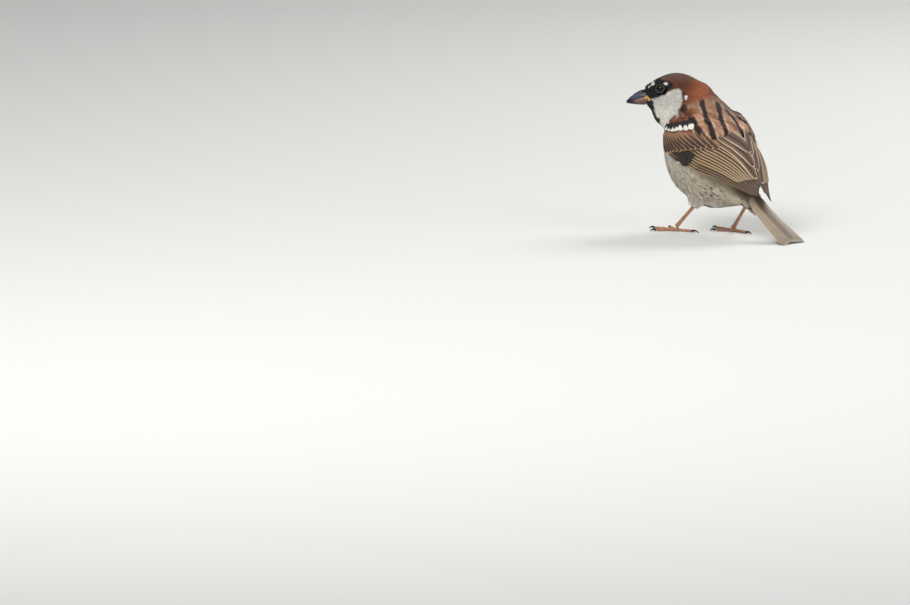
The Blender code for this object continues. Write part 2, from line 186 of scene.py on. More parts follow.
# %% The flesh and how it is swollen
FLESH = [
    "head", "neck", "trunk", "thigh_left", "thigh_right", "wing_left_shoulder", "wing_right_shoulder",
]
SWELL = 0.45  # closes the thin cuts between the solids
CLOSING = 0.9  # a further swelling, which closes the step at the edge of each wing
SKIN_VOXEL = 0.75
SKIN_SMOOTHING = 10
TAIL_STUB = 8.0  # length of the fleshy root of the tail
TAIL_ROOT = np.array((36.5, 0.0, 24.2))
TAIL_TIP = np.array((74.5, 0.0, 0.5))
TAIL_WAY = unit(TAIL_TIP - TAIL_ROOT)
JOINED = 1e-7  # corners nearer than this are one corner, in metres
print("tail length:", round(float(np.linalg.norm(TAIL_TIP - TAIL_ROOT)), 1), "mm")

# %% [markdown]
# Modifiers do the swelling and the remeshing, so the finished mesh has to be read back with them
# applied. What comes out may be in several shells, of which only the largest is wanted.

# %% The finished mesh and its largest shell
def evaluated_mesh(obj):
    """The mesh of an object with its modifiers applied."""
    bpy.context.view_layer.update()
    return bpy.data.meshes.new_from_object(obj.evaluated_get(bpy.context.evaluated_depsgraph_get()))


def largest_shell(bm):
    """Deletes every part of the mesh that isn't joined to its largest part."""
    left = set(bm.verts)
    shells = []
    while left:
        edge = [left.pop()]
        shell = set(edge)
        while edge:
            vert = edge.pop()
            for link in vert.link_edges:
                other = link.other_vert(vert)
                if other in left:
                    left.discard(other)
                    shell.add(other)
                    edge.append(other)
        shells.append(shell)
    shells.sort(key=len)
    bmesh.ops.delete(bm, geom=[v for shell in shells[:-1] for v in shell], context="VERTS")
    return len(shells)


ball = bmesh.new()
bmesh.ops.create_icosphere(ball, subdivisions=1, radius=1.0)
print("shells of a ball:", largest_shell(ball))
ball.free()

# %% [markdown]
# Now any solids can be run together. The same helper serves again later for the bill and the legs.
# The tail is cut off short first, because only its fleshy root belongs under the skin.

# %% One surface from the flesh solids
def run_together(names, swell, voxel, smoothing, closing=0.0, stub=None):
    """One closed surface round the named solids, as points in bird millimetres and triangles."""
    bm = bmesh.new()
    if stub:
        name, place, way = stub
        bm.from_mesh(nodes[name].data)
        bmesh.ops.remove_doubles(bm, verts=bm.verts, dist=JOINED)
        everything = [*bm.verts, *bm.edges, *bm.faces]
        bmesh.ops.bisect_plane(
            bm, geom=everything, plane_co=to_frame(place), plane_no=way, clear_outer=True
        )
        bmesh.ops.holes_fill(bm, edges=[edge for edge in bm.edges if edge.is_boundary], sides=0)
    for name in names:
        start = len(bm.verts)
        bm.from_mesh(nodes[name].data)
        bm.verts.ensure_lookup_table()
        added = bm.verts[start:]
        bmesh.ops.remove_doubles(bm, verts=added, dist=JOINED)
    bm.normal_update()
    for vert in bm.verts:
        vert.co += vert.normal * swell * MM
    mesh = bpy.data.meshes.new("flesh")
    bm.to_mesh(mesh)
    bm.free()
    obj = bpy.data.objects.new("flesh", mesh)
    bpy.context.scene.collection.objects.link(obj)
    for further in (closing, None) if closing else (None,):
        remesh = obj.modifiers.new("one_surface", "REMESH")
        remesh.mode = "VOXEL"
        remesh.voxel_size = voxel * MM
        smooth = obj.modifiers.new("soften", "SMOOTH")
        smooth.iterations = smoothing
        if further:
            swelling = obj.modifiers.new("swell", "DISPLACE")
            swelling.strength = further * MM
            swelling.mid_level = 0.0
    made = evaluated_mesh(obj)
    bpy.data.objects.remove(obj)
    bm = bmesh.new()
    bm.from_mesh(made)
    shells = largest_shell(bm)
    bmesh.ops.triangulate(bm, faces=bm.faces)
    bm.normal_update()
    bm.verts.index_update()
    points = to_bird([v.co for v in bm.verts])
    normals = np.array([v.normal for v in bm.verts])
    triangles = np.array([[v.index for v in face.verts] for face in bm.faces])
    bm.free()
    print("shells found:", shells, "triangles kept:", len(triangles))
    return points, normals, triangles


tail_stub = ("tail", TAIL_ROOT + TAIL_WAY * TAIL_STUB, TAIL_WAY)
hull_points, hull_normals, hull_triangles = run_together(
    FLESH, SWELL, SKIN_VOXEL, SKIN_SMOOTHING, CLOSING, tail_stub
)

# %% [markdown]
# Before the markings can be painted, the folded wings need a map. A folded wing is one gently
# curved sheet that lies over the flank. We give each place on it two shares: how far it is from the
# shoulder to the tip, and how far it is from the edge along the back to the edge along the belly.
# The sheet is drawn through a few points along its two edges and then laid onto the outer face of
# the solid wing, so that every quill placed by its shares ends up where the solids have it.

# %% The edges of the folded wing
WING_BACK_EDGE = (
    (-5, -19, 69), (7, -13, 68), (25, -4, 61.5), (36, -1.2, 50.5), (43.5, -1, 37), (49.5, -2.2, 28),
)
WING_BELLY_EDGE = (
    (-15, -21, 60), (-8, -25.5, 50), (6, -27, 42), (22, -21.5, 35), (37, -14.5, 29.5), (50.5, -7.2, 26),
)
WING_BULGE = (0.8, 3.6, 7.2, 7.4, 4.2, 0.4)
WING_DROOP = {"left": 0.0, "right": 5.0}  # the right wing hangs a little lower
WING_CROSS = {"left": 0.0, "right": 3.6}  # and its tip stays on its own side
WING_OUTWARD = unit(np.array((0.35, -0.9, 0.25)))


def smooth_through(values, place):
    """A smooth curve through the values, read at places from 0 to their count less one."""
    values = np.asarray(values, float)
    last = len(values) - 1
    step = np.clip(np.floor(place).astype(int), 0, last - 1)
    part = place - step
    if values.ndim > 1:
        part = part[..., None]
    before, a, b, after = (values[np.clip(step + k, 0, last)] for k in (-1, 0, 1, 2))
    return 0.5 * (
        2.0 * a
        + (b - before) * part
        + (2.0 * before - 5.0 * a + 4.0 * b - after) * part**2
        + (3.0 * (a - b) + after - before) * part**3
    )


print("middle of the wing's back edge:", smooth_through(WING_BACK_EDGE, 2.5).round(1))

# %% [markdown]
# A sheet is spanned between the two edges and bulged outwards. Each of its points is then pressed on
# to the solids of the wing, and the whole is smoothed a little, because the solids have facets.

# %% The map, pressed on to the wing
MAP_ROWS, MAP_COLUMNS = 48, 20
PRESS_FROM, PRESS_REACH = 10.0, 5.0  # start of the ray outside the wing, and the farthest good hit


def tree_of(names):
    """A search tree of the named solids, in bird millimetres."""
    corners, faces = [], []
    for name in names:
        mesh = nodes[name].data
        faces += [[len(corners) + v for v in polygon.vertices] for polygon in mesh.polygons]
        corners += [Vector(p) for p in to_bird([v.co for v in mesh.vertices])]
    return BVHTree.FromPolygons(corners, faces)


def wing_map(label):
    """Points of the wing's outer face, in rows from shoulder to tip, and the directions there."""
    along = np.linspace(0.0, 1.0, MAP_ROWS + 1)[:, None]
    share = np.linspace(0.0, 1.0, MAP_COLUMNS + 1)[None, :]
    place = along * (len(WING_BACK_EDGE) - 1) + share * 0.0
    back = smooth_through(WING_BACK_EDGE, place)
    belly = smooth_through(WING_BELLY_EDGE, place)
    points = back + (belly - back) * share[..., None]
    bulge = smooth_through(WING_BULGE, place) * np.sin(math.pi * share)
    points = points + WING_OUTWARD * bulge[..., None]
    points[..., 2] -= WING_DROOP[label] * along**2
    points[..., 1] += WING_CROSS[label] * along**4
    points[..., 1] *= -SIDES[label]
    outward = Vector(WING_OUTWARD * (1.0, -SIDES[label], 1.0))
    solid = tree_of([f"wing_{label}_{part}" for part in ("shoulder", "secondaries", "primaries")])
    for i, j in np.ndindex(*points.shape[:2]):
        start = Vector(points[i, j])
        hit = solid.ray_cast(start + outward * PRESS_FROM, -outward)[0]
        if hit is None or (hit - start).length > PRESS_REACH:
            hit = solid.find_nearest(start + outward * 2.0)[0]
        points[i, j] = hit
    for _ in range(2):  # takes the facets of the solid out of the map
        points[1:-1] = (points[:-2] + points[1:-1] * 2.0 + points[2:]) / 4.0
        points[:, 1:-1] = (points[:, :-2] + points[:, 1:-1] * 2.0 + points[:, 2:]) / 4.0
    down = np.gradient(points, axis=0)
    over = np.gradient(points, axis=1)
    normals = unit(np.cross(down, over)) * -SIDES[label]
    flip = np.sign(np.sum(normals * np.array(outward), axis=-1, keepdims=True))
    return points, normals * flip


WING_MAPS = {label: wing_map(label) for label in SIDES}
for label in SIDES:
    size = WING_MAPS[label][0].reshape(-1, 3)
    print(label, "wing map from", size.min(0).round(1), "to", size.max(0).round(1))

# %% [markdown]
# A place on the wing is given by two shares: how far along from shoulder to tip, and how far across
# from the back edge to the belly edge. They may run a little past the edges.

# %% Reading the wing map
def read_map(table, along, share):
    """A value between the map's points, carried on in a straight line beyond its edges."""
    row = np.asarray(along, float) * MAP_ROWS
    column = np.asarray(share, float) * MAP_COLUMNS
    i = np.clip(np.floor(row).astype(int), 0, MAP_ROWS - 1)
    j = np.clip(np.floor(column).astype(int), 0, MAP_COLUMNS - 1)
    p, q = (row - i)[..., None], (column - j)[..., None]
    top = table[i, j] * (1.0 - q) + table[i, j + 1] * q
    low = table[i + 1, j] * (1.0 - q) + table[i + 1, j + 1] * q
    return top * (1.0 - p) + low * p


def on_wing(label, along, share, height=0.0):
    """A place on the wing from its shares, raised by a height."""
    points, normals = WING_MAPS[label]
    height = np.asarray(height, float)
    return read_map(points, along, share) + unit(read_map(normals, along, share)) * height[..., None]


print("middle of the left wing:", on_wing("left", 0.5, 0.5).round(1))

# %% [markdown]
# The small feathers need the other way round as well: for a point of the body, its shares on the
# wing and its height over it. A search tree of places all over the map gives the nearest one.

# %% Finding a place on the wing map
def map_finder(label):
    """A search tree of places all over the wing map."""
    along, share = np.meshgrid(np.linspace(-0.04, 1.0, 131), np.linspace(-0.06, 1.06, 57), indexing="ij")
    shares = np.stack((along.ravel(), share.ravel()), axis=-1)
    finder = KDTree(len(shares))
    for k, point in enumerate(on_wing(label, shares[:, 0], shares[:, 1])):
        finder.insert(point, k)
    finder.balance()
    return finder, shares


WING_FINDERS = {label: map_finder(label) for label in SIDES}


def wing_shares(points):
    """For each point its shares on the nearer wing and its height over that wing."""
    found = np.zeros((len(points), 3))
    for label, side in SIDES.items():
        near = np.flatnonzero((points[:, 1] < 0.0) == (side < 0.0))
        finder, shares = WING_FINDERS[label]
        index = np.array([finder.find(point)[1] for point in points[near]], int)
        along, share = shares[index].T
        gap = points[near] - on_wing(label, along, share)
        height = np.sum(gap * unit(read_map(WING_MAPS[label][1], along, share)), axis=1)
        distance = np.linalg.norm(gap, axis=1)
        found[near] = np.column_stack((along, share, np.copysign(distance, height)))
    return found


print("a point of the back over the left wing:", wing_shares(np.array([(20.0, -18.0, 62.0)])).round(2))

# %% [markdown]
# The body itself needs a direction as well. Its axis runs in a bow from the neck to the tail. Small
# feathers point along it, and the angle round it tells back from belly. On the head the feathers
# spread from the base of the bill instead, as if combed back from there, so the two directions
# are blended where the head joins the neck.

# %% The axis of the body and the lie of the feathers
BODY_AXIS = np.array(
    (
        (-15, 0, 81), (-10.5, 0, 75), (-5, 0, 66), (1, 0, 54.5), (7.5, 0, 43), (15, 0, 34), (25.5, 0, 28),
        (38.5, 0, 22.5), (51, 0, 15), (64, 0, 7),
    ),
    float,
)  # from the neck to the middle of the tail
AXIS_STEPS = 180
AT_A_TIME = 20000  # points compared with the axis at once, to spare memory
HEAD_PLANE = np.array((-14.0, 0.5, 76.5))
HEAD_PLANE_UP = unit(np.array((-0.62, -0.30, 0.72)))
BILL_BASE = np.array((-17.5, 0.0, -3.0))  # in the head's own millimetres
LEG_AXES = {
    "left": (np.array((9.0, -11.0, 36.0)), np.array((1.5, -11.0, 16.6))),
    "right": (np.array((15.0, 10.0, 36.0)), np.array((25.0, 9.8, 17.6))),
}  # from knee to ankle, inside the thigh

axis_points = smooth_through(BODY_AXIS, np.linspace(0.0, len(BODY_AXIS) - 1.0, AXIS_STEPS))
axis_ways = unit(np.gradient(axis_points, axis=0))


def body_place(points):
    """Share along the axis, its direction there, and how far each point faces up and sideways."""
    points = np.asarray(points, float)
    share = np.zeros(len(points))
    for start in range(0, len(points), AT_A_TIME):
        part = points[start : start + AT_A_TIME]
        gap = part[:, None, :] - axis_points[None]
        share[start : start + AT_A_TIME] = np.argmin(np.sum(gap * gap, axis=-1), axis=1)
    index = share.astype(int)
    way = axis_ways[index]
    spoke = points - axis_points[index]
    spoke = unit(spoke - way * np.sum(spoke * way, axis=1, keepdims=True))
    back = np.cross(np.array((0.0, -1.0, 0.0)), way)
    return share / (AXIS_STEPS - 1.0), way, np.sum(spoke * back, axis=1), spoke[:, 1]


def head_share(points):
    """1 on the head, 0 on the body, with a soft change through the neck."""
    return soft_step(-7.0, 7.0, (points - HEAD_PLANE) @ HEAD_PLANE_UP)


def thigh_share(points):
    """1 on the feathered thighs, 0 elsewhere."""
    share = np.zeros(len(points))
    for knee, ankle in LEG_AXES.values():
        way = ankle - knee
        part = np.clip((points - knee) @ way / (way @ way), 0.0, 1.0)
        gap = np.linalg.norm(points - knee - part[:, None] * way, axis=1)
        share = np.maximum(share, soft_step(7.5, 5.0, gap) * soft_step(27.0, 22.0, points[:, 2]))
    return share


def lie_of(points, normals):
    """Direction of the feathers along the skin."""
    along = body_place(points)[1]
    combed = unit((to_head(points) - BILL_BASE) @ HEAD_AXES)
    share = head_share(points)[:, None]
    way = unit(combed * share + along * (1.0 - share))
    leg = thigh_share(points)[:, None]
    down = np.where(points[:, 1:2] < 0.0, *(unit(b - a) for a, b in LEG_AXES.values()))
    way = way * (1.0 - leg) + down * leg
    return unit(way - normals * np.sum(way * normals, axis=1, keepdims=True))


print("axis length:", round(float(np.sum(np.linalg.norm(np.diff(axis_points, axis=0), axis=1))), 1), "mm")

# %% [markdown]
# Now the markings of a cock sparrow, written as patches with soft, slightly ragged edges. They are
# functions of a place on the bird, so that the skin and the feathers over it can be painted with the
# same rule. The head comes first: a black mask and bib, pale cheeks, small white flecks over the
# eye, a dull brown crown and rich chestnut from behind the eye down to the nape.

# %% Outlines of the head's markings
MASK = (
    (-22, -1.5), (-21.5, 1.5), (-16.6, 5.6), (-13.0, 8.2), (-10.6, 8.8), (-9.0, 8.2), (-5.8, 7.8),
    (-2.2, 7.4), (-0.4, 5.9), (-1.2, 3.9), (-3.4, 2.0), (-5.6, -0.4), (-8.6, -2.2), (-10.4, -2.8),
    (-13.0, -3.4), (-14.5, -4.0),
)
CHEEK = (
    (-13.4, -3.6), (-10.4, -2.8), (-8.4, -2.0), (-5.4, -0.3), (-3.2, 1.6), (0.4, 2.9), (3.4, 3.3),
    (4.6, 1.0), (5.0, -1.8), (4.9, -4.6), (3.4, -7.4), (-2.4, -11.4), (-7.0, -16.0), (-9.2, -24.0),
    (-16.0, -24.0),
)
CHESTNUT_CAP = (
    (-22, 3), (-14, 20), (10, 20), (30, 10), (34, 1), (26, -0.8), (18, -2.0), (12, -3.6), (7, -6.2),
    (2.4, -7.2), (-2, -3), (-8, 0),
)
BIB_EDGE = ((-13.2, -3.0), (-12.3, -5.4), (-11.9, -7.4), (-10.5, -12.6), (-9.1, -17.6), (-8.8, -21.0))
FLECKS = ((-14.1, 3.4, 0.9, 0.5), (-12.1, 5.1, 1.4, 0.8), (-4.7, 5.9, 1.6, 0.75))  # place and half sizes
EAR_FLECK = (7.2, -1.7, 0.85, 1.3)
GAPE = ((-18.5, -0.6), (-15.9, -1.2), (-13.6, -3.6), (-14.6, -5.8), (-18.5, -6.9))  # the bare corner
GAPE_INNER = ((-18.5, -1.7), (-16.5, -2.2), (-14.9, -3.8), (-15.6, -5.2), (-18.5, -6.2))


def line_gap(x, y, line):
    """Distance from points to a line through a few places."""
    nearest = np.full(np.shape(x), np.inf)
    for (x0, y0), (x1, y1) in zip(line, line[1:]):
        run, rise = x1 - x0, y1 - y0
        part = np.clip(((x - x0) * run + (y - y0) * rise) / (run**2 + rise**2), 0.0, 1.0)
        nearest = np.minimum(nearest, np.hypot(x - x0 - part * run, y - y0 - part * rise))
    return nearest


def patch(x, z, corners, edge):
    """1 inside the outline through the corners and 0 outside, with an edge of that half width."""
    outline = corners + corners[:1]
    inside = np.zeros(np.shape(x), bool)
    for (x0, z0), (x1, z1) in zip(outline, outline[1:]):
        if z1 != z0:
            inside ^= ((z0 > z) != (z1 > z)) & (x < x0 + (z - z0) * (x1 - x0) / (z1 - z0))
    gap = line_gap(x, z, outline)
    return soft_step(-edge, edge, np.where(inside, gap, -gap))


def spot(x, z, middle_x, middle_z, half_x, half_z, tilt=0.0):
    """1 in the middle of an oval spot, fading to 0 outside it."""
    run = (x - middle_x) * math.cos(tilt) + (z - middle_z) * math.sin(tilt)
    rise = (z - middle_z) * math.cos(tilt) - (x - middle_x) * math.sin(tilt)
    return soft_step(1.25, 0.75, np.hypot(run / half_x, rise / half_z))


print("middle and rim of a fleck:", [float(spot(x, 0.0, 0.0, 0.0, 1.0, 1.0)) for x in (0.0, 1.0)])

# %% [markdown]
# The layers go on in order, as in painting: first the chestnut, then the pale cheek, then the black
# of mask and bib, and last the white flecks. A ripple pushes each edge a little out of line.

# %% Markings of the head
def paint_head(points, colour):
    """Lays the markings of the head over a colour."""
    place = to_head(points)
    x = place[:, 0] + 0.35 * ripple(points, 3.0, 1)
    z = place[:, 2] + 0.35 * ripple(points, 3.0, 2)
    side = np.abs(place[:, 1])
    cap = patch(x, z, CHESTNUT_CAP, 1.2)
    warm = mixed(CHESTNUT, RUFOUS, soft_step(3.0, 18.0, x - 0.35 * z))
    dull = soft_step(5.0, 9.5, z) * soft_step(10.0, 5.0, side) * soft_step(16.0, 2.0, x)
    warm = mixed(warm, CROWN_BROWN, dull * (0.65 + 0.25 * ripple(points, 2.2, 14)))
    colour = mixed(colour, warm, cap)
    cheek = patch(x, z, CHEEK, 0.7)
    cheek_paint = mixed(CHEEK_GREY, WHITE, soft_step(-4.0, -11.0, z) * 0.8)
    colour = mixed(colour, cheek_paint, cheek)
    behind_cheek = spot(x, z, 5.9, -1.2, 0.6, 2.6, 0.1) + spot(x, z, 5.2, -6.6, 2.0, 0.7, 0.75)
    colour = mixed(colour, BLACK, np.clip(behind_cheek, 0.0, 1.0) * 0.8)
    colour = mixed(colour, WHITE, spot(x, z, *EAR_FLECK))
    colour = mixed(colour, BLACK, patch(x, z, MASK, 0.55))
    front = np.interp(-z, [-p[1] for p in BIB_EDGE], [p[0] for p in BIB_EDGE])
    narrow = soft_step(8.5, 6.5, side) * soft_step(-1.0, -3.0, z) * soft_step(-24.0, -20.0, z)
    colour = mixed(colour, BLACK, soft_step(0.5, -0.5, x - front) * narrow)
    flecks = sum(spot(x, z, *fleck, tilt) for fleck, tilt in zip(FLECKS, (0.65, 0.65, 0.1)))
    return mixed(colour, WHITE, np.clip(flecks, 0.0, 1.0))


under_eye = from_head(np.array([(-3.0, -8.0, -3.0)]))
print("paint under the eye:", paint_head(under_eye, BREAST[None]).round(3))

# %% [markdown]
# The body has three plain parts and one rich one. Breast and belly are pale grey, darker and
# browner on the flanks. The rump is grey-brown. The back between the wings is rufous with cream and
# long black stripes, which come about because each feather there is black along one side.
# The small feathers of the shoulder are chestnut down to the white bar of the wing.

# %% The striped back
STRIPES = (
    ((-7, -12), (-3, -15.5), (9, -20.3), (19, -21.5)),
    ((1, -5.0), (15, -14.6), (22, -17), (29, -18.5)),
    ((8, 2.0), (19.5, -6.6), (27, -10), (34, -11.5)),
    ((14, 4.0), (24, 3.4), (34, 5)),
    ((11, 11.5), (20, 10.0), (34, 13)),
    ((5, 16), (14, 16.5), (24, 19)),
)  # seen from above, from the neck backwards
STRIPE_HALF = 1.55


def paint_back(points):
    """Colour of the back, between the wings."""
    x = points[:, 0] + 0.5 * ripple(points, 5.0, 3)
    y = points[:, 1] + 0.5 * ripple(points, 5.0, 4)
    warm = mixed(MANTLE_PINK, MANTLE_BROWN, soft_step(-0.6, 0.9, ripple(points, 9.0, 5)))
    gap = np.min([line_gap(x, y, stripe) for stripe in STRIPES], axis=0)
    pale = soft_step(1.1, 0.3, np.abs(gap - STRIPE_HALF - 0.8))
    pale = pale * soft_step(-0.6, 0.6, ripple(points, 7.0, 6))
    colour = mixed(warm, CREAM, 0.7 * pale)
    outer = soft_step(-16.5, -18.0, y + 0.35 * x) * soft_step(-0.9, 0.2, ripple(points, 4.0, 15))
    colour = mixed(colour, CHESTNUT * 1.3, 0.9 * outer)  # beside the outermost stripe
    neck = soft_step(73.0, 77.0, points[:, 2] + 0.25 * points[:, 0])  # greyer where the nape ends
    colour = mixed(colour, MANTLE_BROWN * 0.8, 0.5 * neck)
    low = soft_step(24.0, 30.0, points[:, 0]) * soft_step(8.0, 2.0, np.abs(points[:, 1]))
    colour = mixed(colour, CREAM, 0.6 * low)
    return mixed(colour, BLACK, 0.94 * soft_step(STRIPE_HALF + 0.5, STRIPE_HALF - 0.5, gap))


print("stripe and ground:", paint_back(np.array([(20, -7, 64), (17, 0, 64)])).round(2).tolist())

# %% [markdown]
# On the shoulder the place on the wing map decides, so that the chestnut ends along the white bar.
# The flank is streaked along the body. The bib spreads over the upper breast under the turned head.

# %% Markings of the shoulder, the breast and the flanks
BAR_LINE = ((0.0, 0.15, 0.25, 0.30), (0.66, 0.41, 0.32, 0.10))  # the white bar on the wing's map
FLANK_WAY = np.array((0.86, 0.0, -0.51))  # the streaks of the flank run this way
THIGH_STREAKS = np.array((20.0, -17.0, 28.0))  # dark streaks at the lower end of the flank
UNDERTAIL = paint(200, 188, 166)
QUILL_DARK = paint(52, 42, 36)
BIB_LOW = np.array((-11.0, 61.0, 8.5, 8.5))  # middle to the left, height, and half sizes on the breast


def paint_shoulder(points, colour):
    """Chestnut small coverts of the wing, down to the white bar."""
    near = np.abs(points[:, 1]) > 6.0
    near &= (points[:, 2] > 44.0) & (points[:, 0] < 16.0)
    along, share, height = wing_shares(points[near]).T
    bar = np.interp(along, *BAR_LINE)
    reach = np.where(share < bar, 7.0, 3.5)  # it reaches forward round the bend of the wing
    on = soft_step(reach, reach - 1.5, np.abs(height)) * soft_step(0.20, 0.12, along)
    on = on * soft_step(bar - 0.62, bar - 0.50, share) * soft_step(0.97, 0.90, share)
    warm = mixed(CHESTNUT * 1.1, RUFOUS, soft_step(-0.7, 0.9, ripple(points[near], 4.0, 7)))
    colour = colour.copy()
    colour[near] = mixed(colour[near], warm, on)
    return colour


def paint_body(points):
    """Colour of the plumage at each point, the head apart."""
    up, side = body_place(points)[2:]
    breast = mixed(BREAST, BELLY, soft_step(58.0, 40.0, points[:, 2]))
    flank = soft_step(0.35, 0.8, np.abs(side)) * soft_step(52.0, 36.0, points[:, 2])
    flank = np.maximum(flank, soft_step(-0.2, 0.2, up) * soft_step(60.0, 50.0, points[:, 2]))
    breast = mixed(breast, FLANK, 0.75 * flank)
    run = (points @ FLANK_WAY)[:, None] * FLANK_WAY
    streak = ripple(2.0 * (points - run) + 0.25 * run, 4.5, 8) - 0.25
    breast = mixed(breast, SMOKE, 0.5 * flank * soft_step(0.1, 0.7, streak))
    streaks = soft_step(8.5, 5.0, np.linalg.norm((points - THIGH_STREAKS) * (0.8, 0.6, 1.2), axis=1))
    breast = mixed(breast, QUILL_DARK, 0.8 * streaks * soft_step(0.05, 0.4, streak))
    under = soft_step(22.0, 30.0, points[:, 0]) * soft_step(0.3, -0.1, up)
    breast = mixed(breast, UNDERTAIL, 0.8 * under)
    rump = mixed(RUMP, FLANK, soft_step(6.0, 11.0, np.abs(points[:, 1])))
    back = mixed(rump, paint_back(points), soft_step(50.0, 58.0, points[:, 2]))
    colour = mixed(breast, back, soft_step(0.02, 0.22, up))
    return paint_shoulder(points, colour)


def plumage(points):
    """Colour of the plumage at each point of the bird."""
    points = np.asarray(points, float)
    colour = paint_head(points, paint_body(points))
    sway = BIB_LOW[0] + 6.0 * soft_step(66.0, 54.0, points[:, 2])
    low = np.hypot((points[:, 1] - sway) / BIB_LOW[2], (points[:, 2] - BIB_LOW[1]) / BIB_LOW[3])
    low = low + 0.12 * ripple(points, 3.0, 9)
    on = soft_step(1.08, 0.86, low) * soft_step(-16.0, -20.0, points[:, 0])
    return mixed(colour, BLACK, on * soft_step(-7.4, -8.6, to_head(points)[:, 0]))


print("paint of belly and back:", plumage(np.array([(0, -15, 30), (22, 0, 64)])).round(2).tolist())

# %% [markdown]
# The skin is now drawn in from the solids by the depth of the plumage over it, which is least on
# the face and most on the body. It gets the same markings, only darker, because what shows of it
# between feathers lies in their shade. The colours are kept on its vertices and read by its material,
# where fine noise breaks them up.

# %% The depth of the coat
COAT_DEPTHS = {"face": 0.35, "head": 0.75, "body": 1.15, "thigh": 0.7}
NAPE = np.array((-3.5, 11.0, 83.0))  # where the turned head pushes the plumage of the nape up
NAPE_FILL, NAPE_REACH = 1.9, 8.0


def coat_depth(points):
    """How far the skin lies under the outline of the solids."""
    from_bill = np.linalg.norm(to_head(points) - BILL_BASE, axis=1)
    face, head, body, thigh = COAT_DEPTHS.values()
    depth = face + (head - face) * soft_step(4.0, 18.0, from_bill)
    depth = depth + (body - head) * soft_step(22.0, 40.0, from_bill)
    nape = np.linalg.norm(points - NAPE, axis=1) / NAPE_REACH
    depth = depth - NAPE_FILL * np.exp(-(nape**2))
    return depth + (thigh - body) * thigh_share(points)


belly_and_face = np.array(((0.0, -15.0, 30.0), from_head((-16.0, -4.0, -3.0))))
print("coat depth on belly and face:", coat_depth(belly_and_face).round(2))

# %% [markdown]
# The feathers lie on a bed made of this skin and the tail's solid, so that they run on smoothly
# from the rump to the tail. A search tree gives the nearest place on the bed for any point.

# %% The bed that feathers lie on
skin_points = hull_points - hull_normals * (SWELL + CLOSING + coat_depth(hull_points))[:, None]
skin_normals = unit(hull_normals[hull_triangles].sum(axis=1))
tail_mesh = nodes["tail"].data
tail_faces = [[len(skin_points) + v for v in polygon.vertices] for polygon in tail_mesh.polygons]
bed_points = np.vstack((skin_points, to_bird([v.co for v in tail_mesh.vertices])))
bed_normals = np.vstack((skin_normals, [polygon.normal for polygon in tail_mesh.polygons]))
bed_tree = BVHTree.FromPolygons([Vector(p) for p in bed_points], hull_triangles.tolist() + tail_faces)


def on_bed(points):
    """Nearest places that feathers lie on, which are the skin and the tail, and the directions there."""
    found = [bed_tree.find_nearest(point) for point in points]
    places = np.array([hit[0] for hit in found])
    return places, bed_normals[[hit[2] for hit in found]]


print("bed corners:", len(bed_points))

# %% [markdown]
# Every mesh of the dressed bird is made from arrays by one helper, which also keeps the paint on its
# vertices. The skin is the first. At the corner of the mouth it gets the bare yellow flesh.

# %% The skin with its colours
def new_object(name, points, faces, colours):
    """A mesh object from bird millimetres, smooth, with its paint on the vertices."""
    mesh = bpy.data.meshes.new(name)
    mesh.vertices.add(len(points))
    mesh.vertices.foreach_set("co", to_frame(points).ravel())
    if isinstance(faces, np.ndarray):
        faces = [faces]
    loops = np.concatenate([part.ravel() for part in faces])
    totals = np.concatenate([np.full(len(part), part.shape[1]) for part in faces])
    mesh.loops.add(len(loops))
    mesh.loops.foreach_set("vertex_index", loops)
    mesh.polygons.add(len(totals))
    mesh.polygons.foreach_set("loop_start", np.concatenate(((0,), np.cumsum(totals)[:-1])))
    mesh.polygons.foreach_set("loop_total", totals)
    mesh.polygons.foreach_set("use_smooth", np.full(len(totals), True))
    mesh.update(calc_edges=True)
    mesh.validate()
    paint_on = mesh.attributes.new("paint", "FLOAT_COLOR", "POINT")
    paint_on.data.foreach_set("color", np.column_stack((colours, np.ones(len(points)))).ravel())
    obj = bpy.data.objects.new(name, mesh)
    bpy.context.scene.collection.objects.link(obj)
    return obj


GAPE_YELLOW = paint(204, 168, 92)
GAPE_FLESH = paint(118, 84, 76)
skin_place = to_head(skin_points)
gape_x, gape_z = skin_place[:, 0], skin_place[:, 2]
gape = patch(gape_x, gape_z, GAPE, 0.12) * soft_step(0.0, 1.0, np.abs(skin_place[:, 1]))
gape_paint = mixed(GAPE_YELLOW, GAPE_FLESH, patch(gape_x, gape_z, GAPE_INNER, 0.15))
gape_paint = mixed(gape_paint, BLACK, soft_step(-4.3, -5.0, gape_z))
skin_paint = mixed(plumage(skin_points) * 0.6, gape_paint, gape)
skin = new_object("skin", skin_points, hull_triangles, skin_paint)
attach(skin, "root")
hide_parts(*FLESH)
print("skin triangles:", len(hull_triangles))

# %% [markdown]
# A body feather has a shaft with soft barbs on both sides. Modelled as one flat leaf, it would
# look like a scale, so each barb is a small blade of its own: it leaves the shaft at an angle, narrows
# to a point, and ends a little above or below its neighbours. One pattern of blades serves for all
# feathers. It is bent along each feather's own shaft, which lies along the skin.

# %% One feather's blades
BLADE_CORNERS = 5  # two on the shaft, two further out, and the tip


